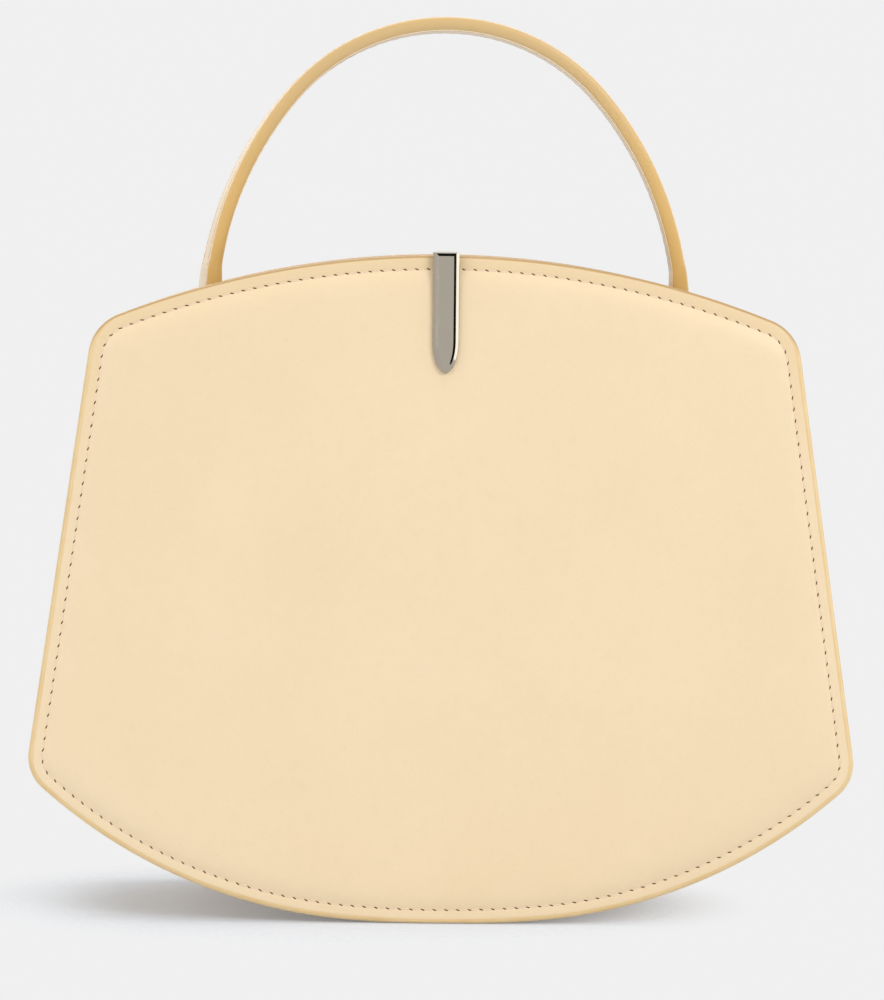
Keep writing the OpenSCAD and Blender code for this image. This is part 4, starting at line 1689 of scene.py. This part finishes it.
    def make_screws(self) -> None:
        """Makes the screws' domed heads with their slots."""
        cos, sin = self.form.tilt
        inward = Side.BACK.world(np.array([0.0, cos, -sin]))
        seat = self.form.panel_t + self.screw_seat
        heads = Work()
        for up in self.screw_ups:
            base = self.form.on_panel([[0.0, seat, up]], Side.BACK)[0]
            heads.turned(base - inward * self.screw_l, inward, self.screw_shank, 24)
            heads.turned(base, inward, self.screw_head)
        screws = heads.make("clasp_screw_heads", self.finishes.steel, "inner_steel")
        slots = Work()
        half_l, half_w, floor, deep = self.screw_slot
        for up in self.screw_ups:
            slots.loft([self.form.on_panel([
                [x * half_l, seat + floor + d, up + z * half_w] for x, z in CORNERS
            ], Side.BACK) for d in (0.0, deep)], fans=False)
        carve(screws, slots.make("screw_slots", self.finishes.steel, "inner_steel"))
        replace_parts(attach(screws, "back_panel"), "clasp_screws")


def both_ends(end: Sequence[tuple[float, float]], length: float) -> Profile:
    """A turned profile with the same end at both sides, of pairs of radius and distance."""
    return (*end, *((radius, length - at) for radius, at in end[::-1]))


def carve(piece: Piece, cutter: Piece, sharp: float = 30.0) -> None:
    """Cuts one closed form out of another, and removes the cutter.

    Args:
        piece: the form that is cut.
        cutter: the form that is taken out of it.
        sharp: the angle in degrees over which an edge stays sharp.
    """
    cut = piece.modifiers.new("carve", "BOOLEAN")
    cut.operation, cut.object, cut.solver = "DIFFERENCE", cutter, "EXACT"
    bpy.context.view_layer.update()
    apply_modifiers(piece)
    piece.data.shade_smooth()
    piece.data.set_sharp_from_angle(angle=math.radians(sharp))
    mesh = cutter.data
    bpy.data.objects.remove(cutter)
    bpy.data.meshes.remove(mesh)


@dataclass(frozen=True)
class HiddenWork:
    """Finishes for the CAD nodes that stay: boards, anchors, pins, plates and the magnet."""

    finishes: Finishes

    def dress(self) -> None:
        """Gives each kept node its finish."""
        for material, names in (
            (self.finishes.board, ("front_board", "back_board", "centre_board")),
            (self.finishes.magnet, ("clasp_magnet",)),
            (self.finishes.steel, ("clasp_keeper", "clasp_backing_plate", "handle_core", "pivot_pins",
                                   "handle_anchor_left", "handle_anchor_right")),
        ):
            for name in names:
                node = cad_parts[name]
                node.data.materials.clear()
                node.data.materials.append(material)
                LOG.info("%s: kept", name)


# The studio


def sheet(
    name: str, half: tuple[float, float], finish: Material, z: float = 0.0,
) -> Piece:
    """A flat sheet that faces up, from its half sizes and height in metres.

    Args:
        name: the sheet's name.
        half: half its width and half its depth.
        finish: its material.
        z: its height.

    Returns:
        The object.
    """
    mesh = bpy.data.meshes.new(name)
    mesh.from_pydata([(x * half[0], y * half[1], z) for x, y in CORNERS], [], [(0, 1, 2, 3)])
    mesh.materials.append(finish)
    made = bpy.data.objects.new(name, mesh)
    bpy.context.scene.collection.objects.link(made)
    return made


def aim_at(thing: Piece, place: Colour, aim: Colour) -> None:
    """Puts a lamp or a card at a place, with its front to an aim."""
    thing.location = place
    thing.rotation_euler = (Vector(place) - Vector(aim)).to_track_quat("Z", "Y").to_euler()


@dataclass(frozen=True)
class Studio:
    """The camera, the lamps, the pale world and the floor."""

    eye: Colour = (-0.020, -1.240, 0.206)
    yaw: float = 0.9185
    pitch: float = -3.9057
    roll: float = 0.6276
    focal_px: float = 4144.5
    backdrop: float = 0.871
    ambient: float = 0.44
    shadow_half: Colour = (0.127, 0.085, 1.0)
    shadow_shift: Colour = (0.028, 0.0, 0.0)
    pale: float = 0.2
    fade: tuple[float, float] = (0.5, 1.0)
    paper: tuple[Colour, Colour] = ((0.745, 0.80, 0.890), (0.76, 0.815, 0.905))
    floor_half: tuple[float, float] = (1.6, 1.6)
    floor_z: float = -0.0002

    def camera(self) -> None:
        """Makes the camera."""
        data = bpy.data.cameras.new("camera")
        data.sensor_fit = "AUTO"
        data.sensor_width = 36.0
        data.lens = self.focal_px / PHOTO_H * data.sensor_width
        data.clip_start, data.clip_end = 0.05, 50.0
        yaw, pitch, roll = map(math.radians, (self.yaw, self.pitch, self.roll))
        ahead = Vector((
            math.sin(yaw) * math.cos(pitch), math.cos(yaw) * math.cos(pitch), math.sin(pitch)))
        right = Vector((math.cos(yaw), -math.sin(yaw), 0.0))
        up = right.cross(ahead)
        across = right * math.cos(roll) + up * math.sin(roll)
        upright = up * math.cos(roll) - right * math.sin(roll)
        camera = bpy.data.objects.new("camera", data)
        axes = Matrix((across, upright, -ahead)).transposed().to_4x4()
        camera.matrix_world = Matrix.Translation(self.eye) @ axes
        bpy.context.scene.collection.objects.link(camera)
        bpy.context.scene.camera = camera

    def lamp(self, name: str, place: Colour, aim: Colour, size: float, watts: float) -> None:
        """Adds a square softbox.

        Args:
            name: its name.
            place: where it stands, in metres.
            aim: what it shines at.
            size: its width in metres.
            watts: its power.
        """
        data = bpy.data.lights.new(name, "AREA")
        data.shape, data.size, data.energy = "SQUARE", size, watts
        lamp = bpy.data.objects.new(name, data)
        aim_at(lamp, place, aim)
        bpy.context.scene.collection.objects.link(lamp)

    def world(self) -> None:
        """Makes the world: the backdrop's grey where it is seen, and soft light elsewhere."""
        r = Recipe("studio", bpy.data.worlds.new("studio"))
        lit = r.node("ShaderNodeBackground", {}, {"Color": (1.0,) * 4, "Strength": self.ambient})
        shown = r.node("ShaderNodeBackground", {}, {
            "Color": (self.backdrop,) * 3 + (1.0,), "Strength": 1.0})
        mixed = r.node("ShaderNodeMixShader", {}, {0: r.seen(), 1: lit, 2: shown})
        bpy.context.scene.world = r.finish(mixed, "ShaderNodeOutputWorld")

    def floor(self) -> None:
        """Makes the floor, which fades into the world away from the bag."""
        r = Recipe("pale_floor")
        moved = r.node("ShaderNodeVectorMath", {"operation": "ADD"}, {0: r.place, 1: self.shadow_shift})
        across = r.node("ShaderNodeVectorMath", {"operation": "MULTIPLY"}, {
            0: moved, 1: tuple(1 / half for half in self.shadow_half)})
        reach = r.node("ShaderNodeVectorMath", {"operation": "LENGTH"}, {0: across}, out="Value")
        paper = r.noise(0.004, 3.0)
        diffuse = r.node("ShaderNodeBsdfPrincipled", {}, {
            "Base Color": r.mix(paper, *self.paper), "Roughness": 0.9, "Specular IOR Level": 0.1})
        clear = r.node("ShaderNodeBsdfTransparent")
        fade = (self.pale + (1 - self.pale) * reach.between(*self.fade)) * r.seen()
        mixed = r.node("ShaderNodeMixShader", {}, {0: fade, 1: diffuse, 2: clear})
        sheet("floor", self.floor_half, r.finish(mixed), self.floor_z)

    def card(
        self, name: str, place: Colour, aim: Colour, half: tuple[float, float], glow: float,
    ) -> None:
        """Adds a card that only polished pieces mirror.

        Args:
            name: its name.
            place: where it stands, in metres.
            aim: what it faces.
            half: half its width and half its height.
            glow: 0 for a dark card, or how strongly it shines.
        """
        r = Recipe(name)
        shine = r.node("ShaderNodeEmission", {}, {
            "Color": (1.0, 0.99, 0.97, 1.0) if glow else (0.0, 0.0, 0.0, 1.0), "Strength": glow})
        card = sheet(name, half, r.finish(shine))
        aim_at(card, place, aim)
        card.visible_camera = card.visible_diffuse = False
        card.visible_shadow = card.visible_transmission = False

    def make(self) -> None:
        """Makes the studio."""
        self.camera()
        self.world()
        self.floor()
        self.lamp("key", (0.95, -1.15, 1.10), (0.0, 0.0, 0.11), 0.8, 11.0)
        self.lamp("fill", (-1.25, -0.95, 0.75), (0.0, 0.0, 0.11), 1.1, 6.5)
        self.lamp("top", (-0.1, 0.05, 1.45), (0.0, 0.0, 0.1), 1.0, 7.4)
        self.lamp("rear", (-0.35, 1.35, 1.0), (0.0, 0.0, 0.11), 1.1, 5.0)
        self.lamp("side", (1.2, -0.35, 0.22), (0.05, 0.0, 0.02), 0.4, 0.8)
        clasp = (0.0, -0.03, 0.18)
        self.card("dark_card_right", (0.66, -0.66, 0.22), clasp, (0.25, 0.25), 0.0)
        self.card("bright_card_right", (0.95, -0.02, 0.20), clasp, (0.31, 0.25), 2.3)
        self.card("dark_card_above", (0.03, -0.60, 1.00), clasp, (0.3, 0.28), 0.0)
        self.card("grey_card_left", (-0.86, -0.36, 0.22), clasp, (0.575, 0.35), 0.84)


def main() -> None:
    """Builds the bag and its studio in order."""
    logging.basicConfig(level=logging.INFO, format="%(name)s %(message)s")
    bpy.context.scene.view_settings.view_transform = "Standard"
    Studio().make()
    form, finishes = BagForm(), Finishes()
    for side in Side:
        Panel(form, finishes, side).make()
        Gussets(form, finishes, side).make()
    CentrePanel(form, finishes).make()
    SlipPocket(form, finishes).make()
    Handle(finishes).make()
    Clasp(form, finishes).make()
    HiddenWork(finishes).dress()


if __name__ == "__main__":
    main()
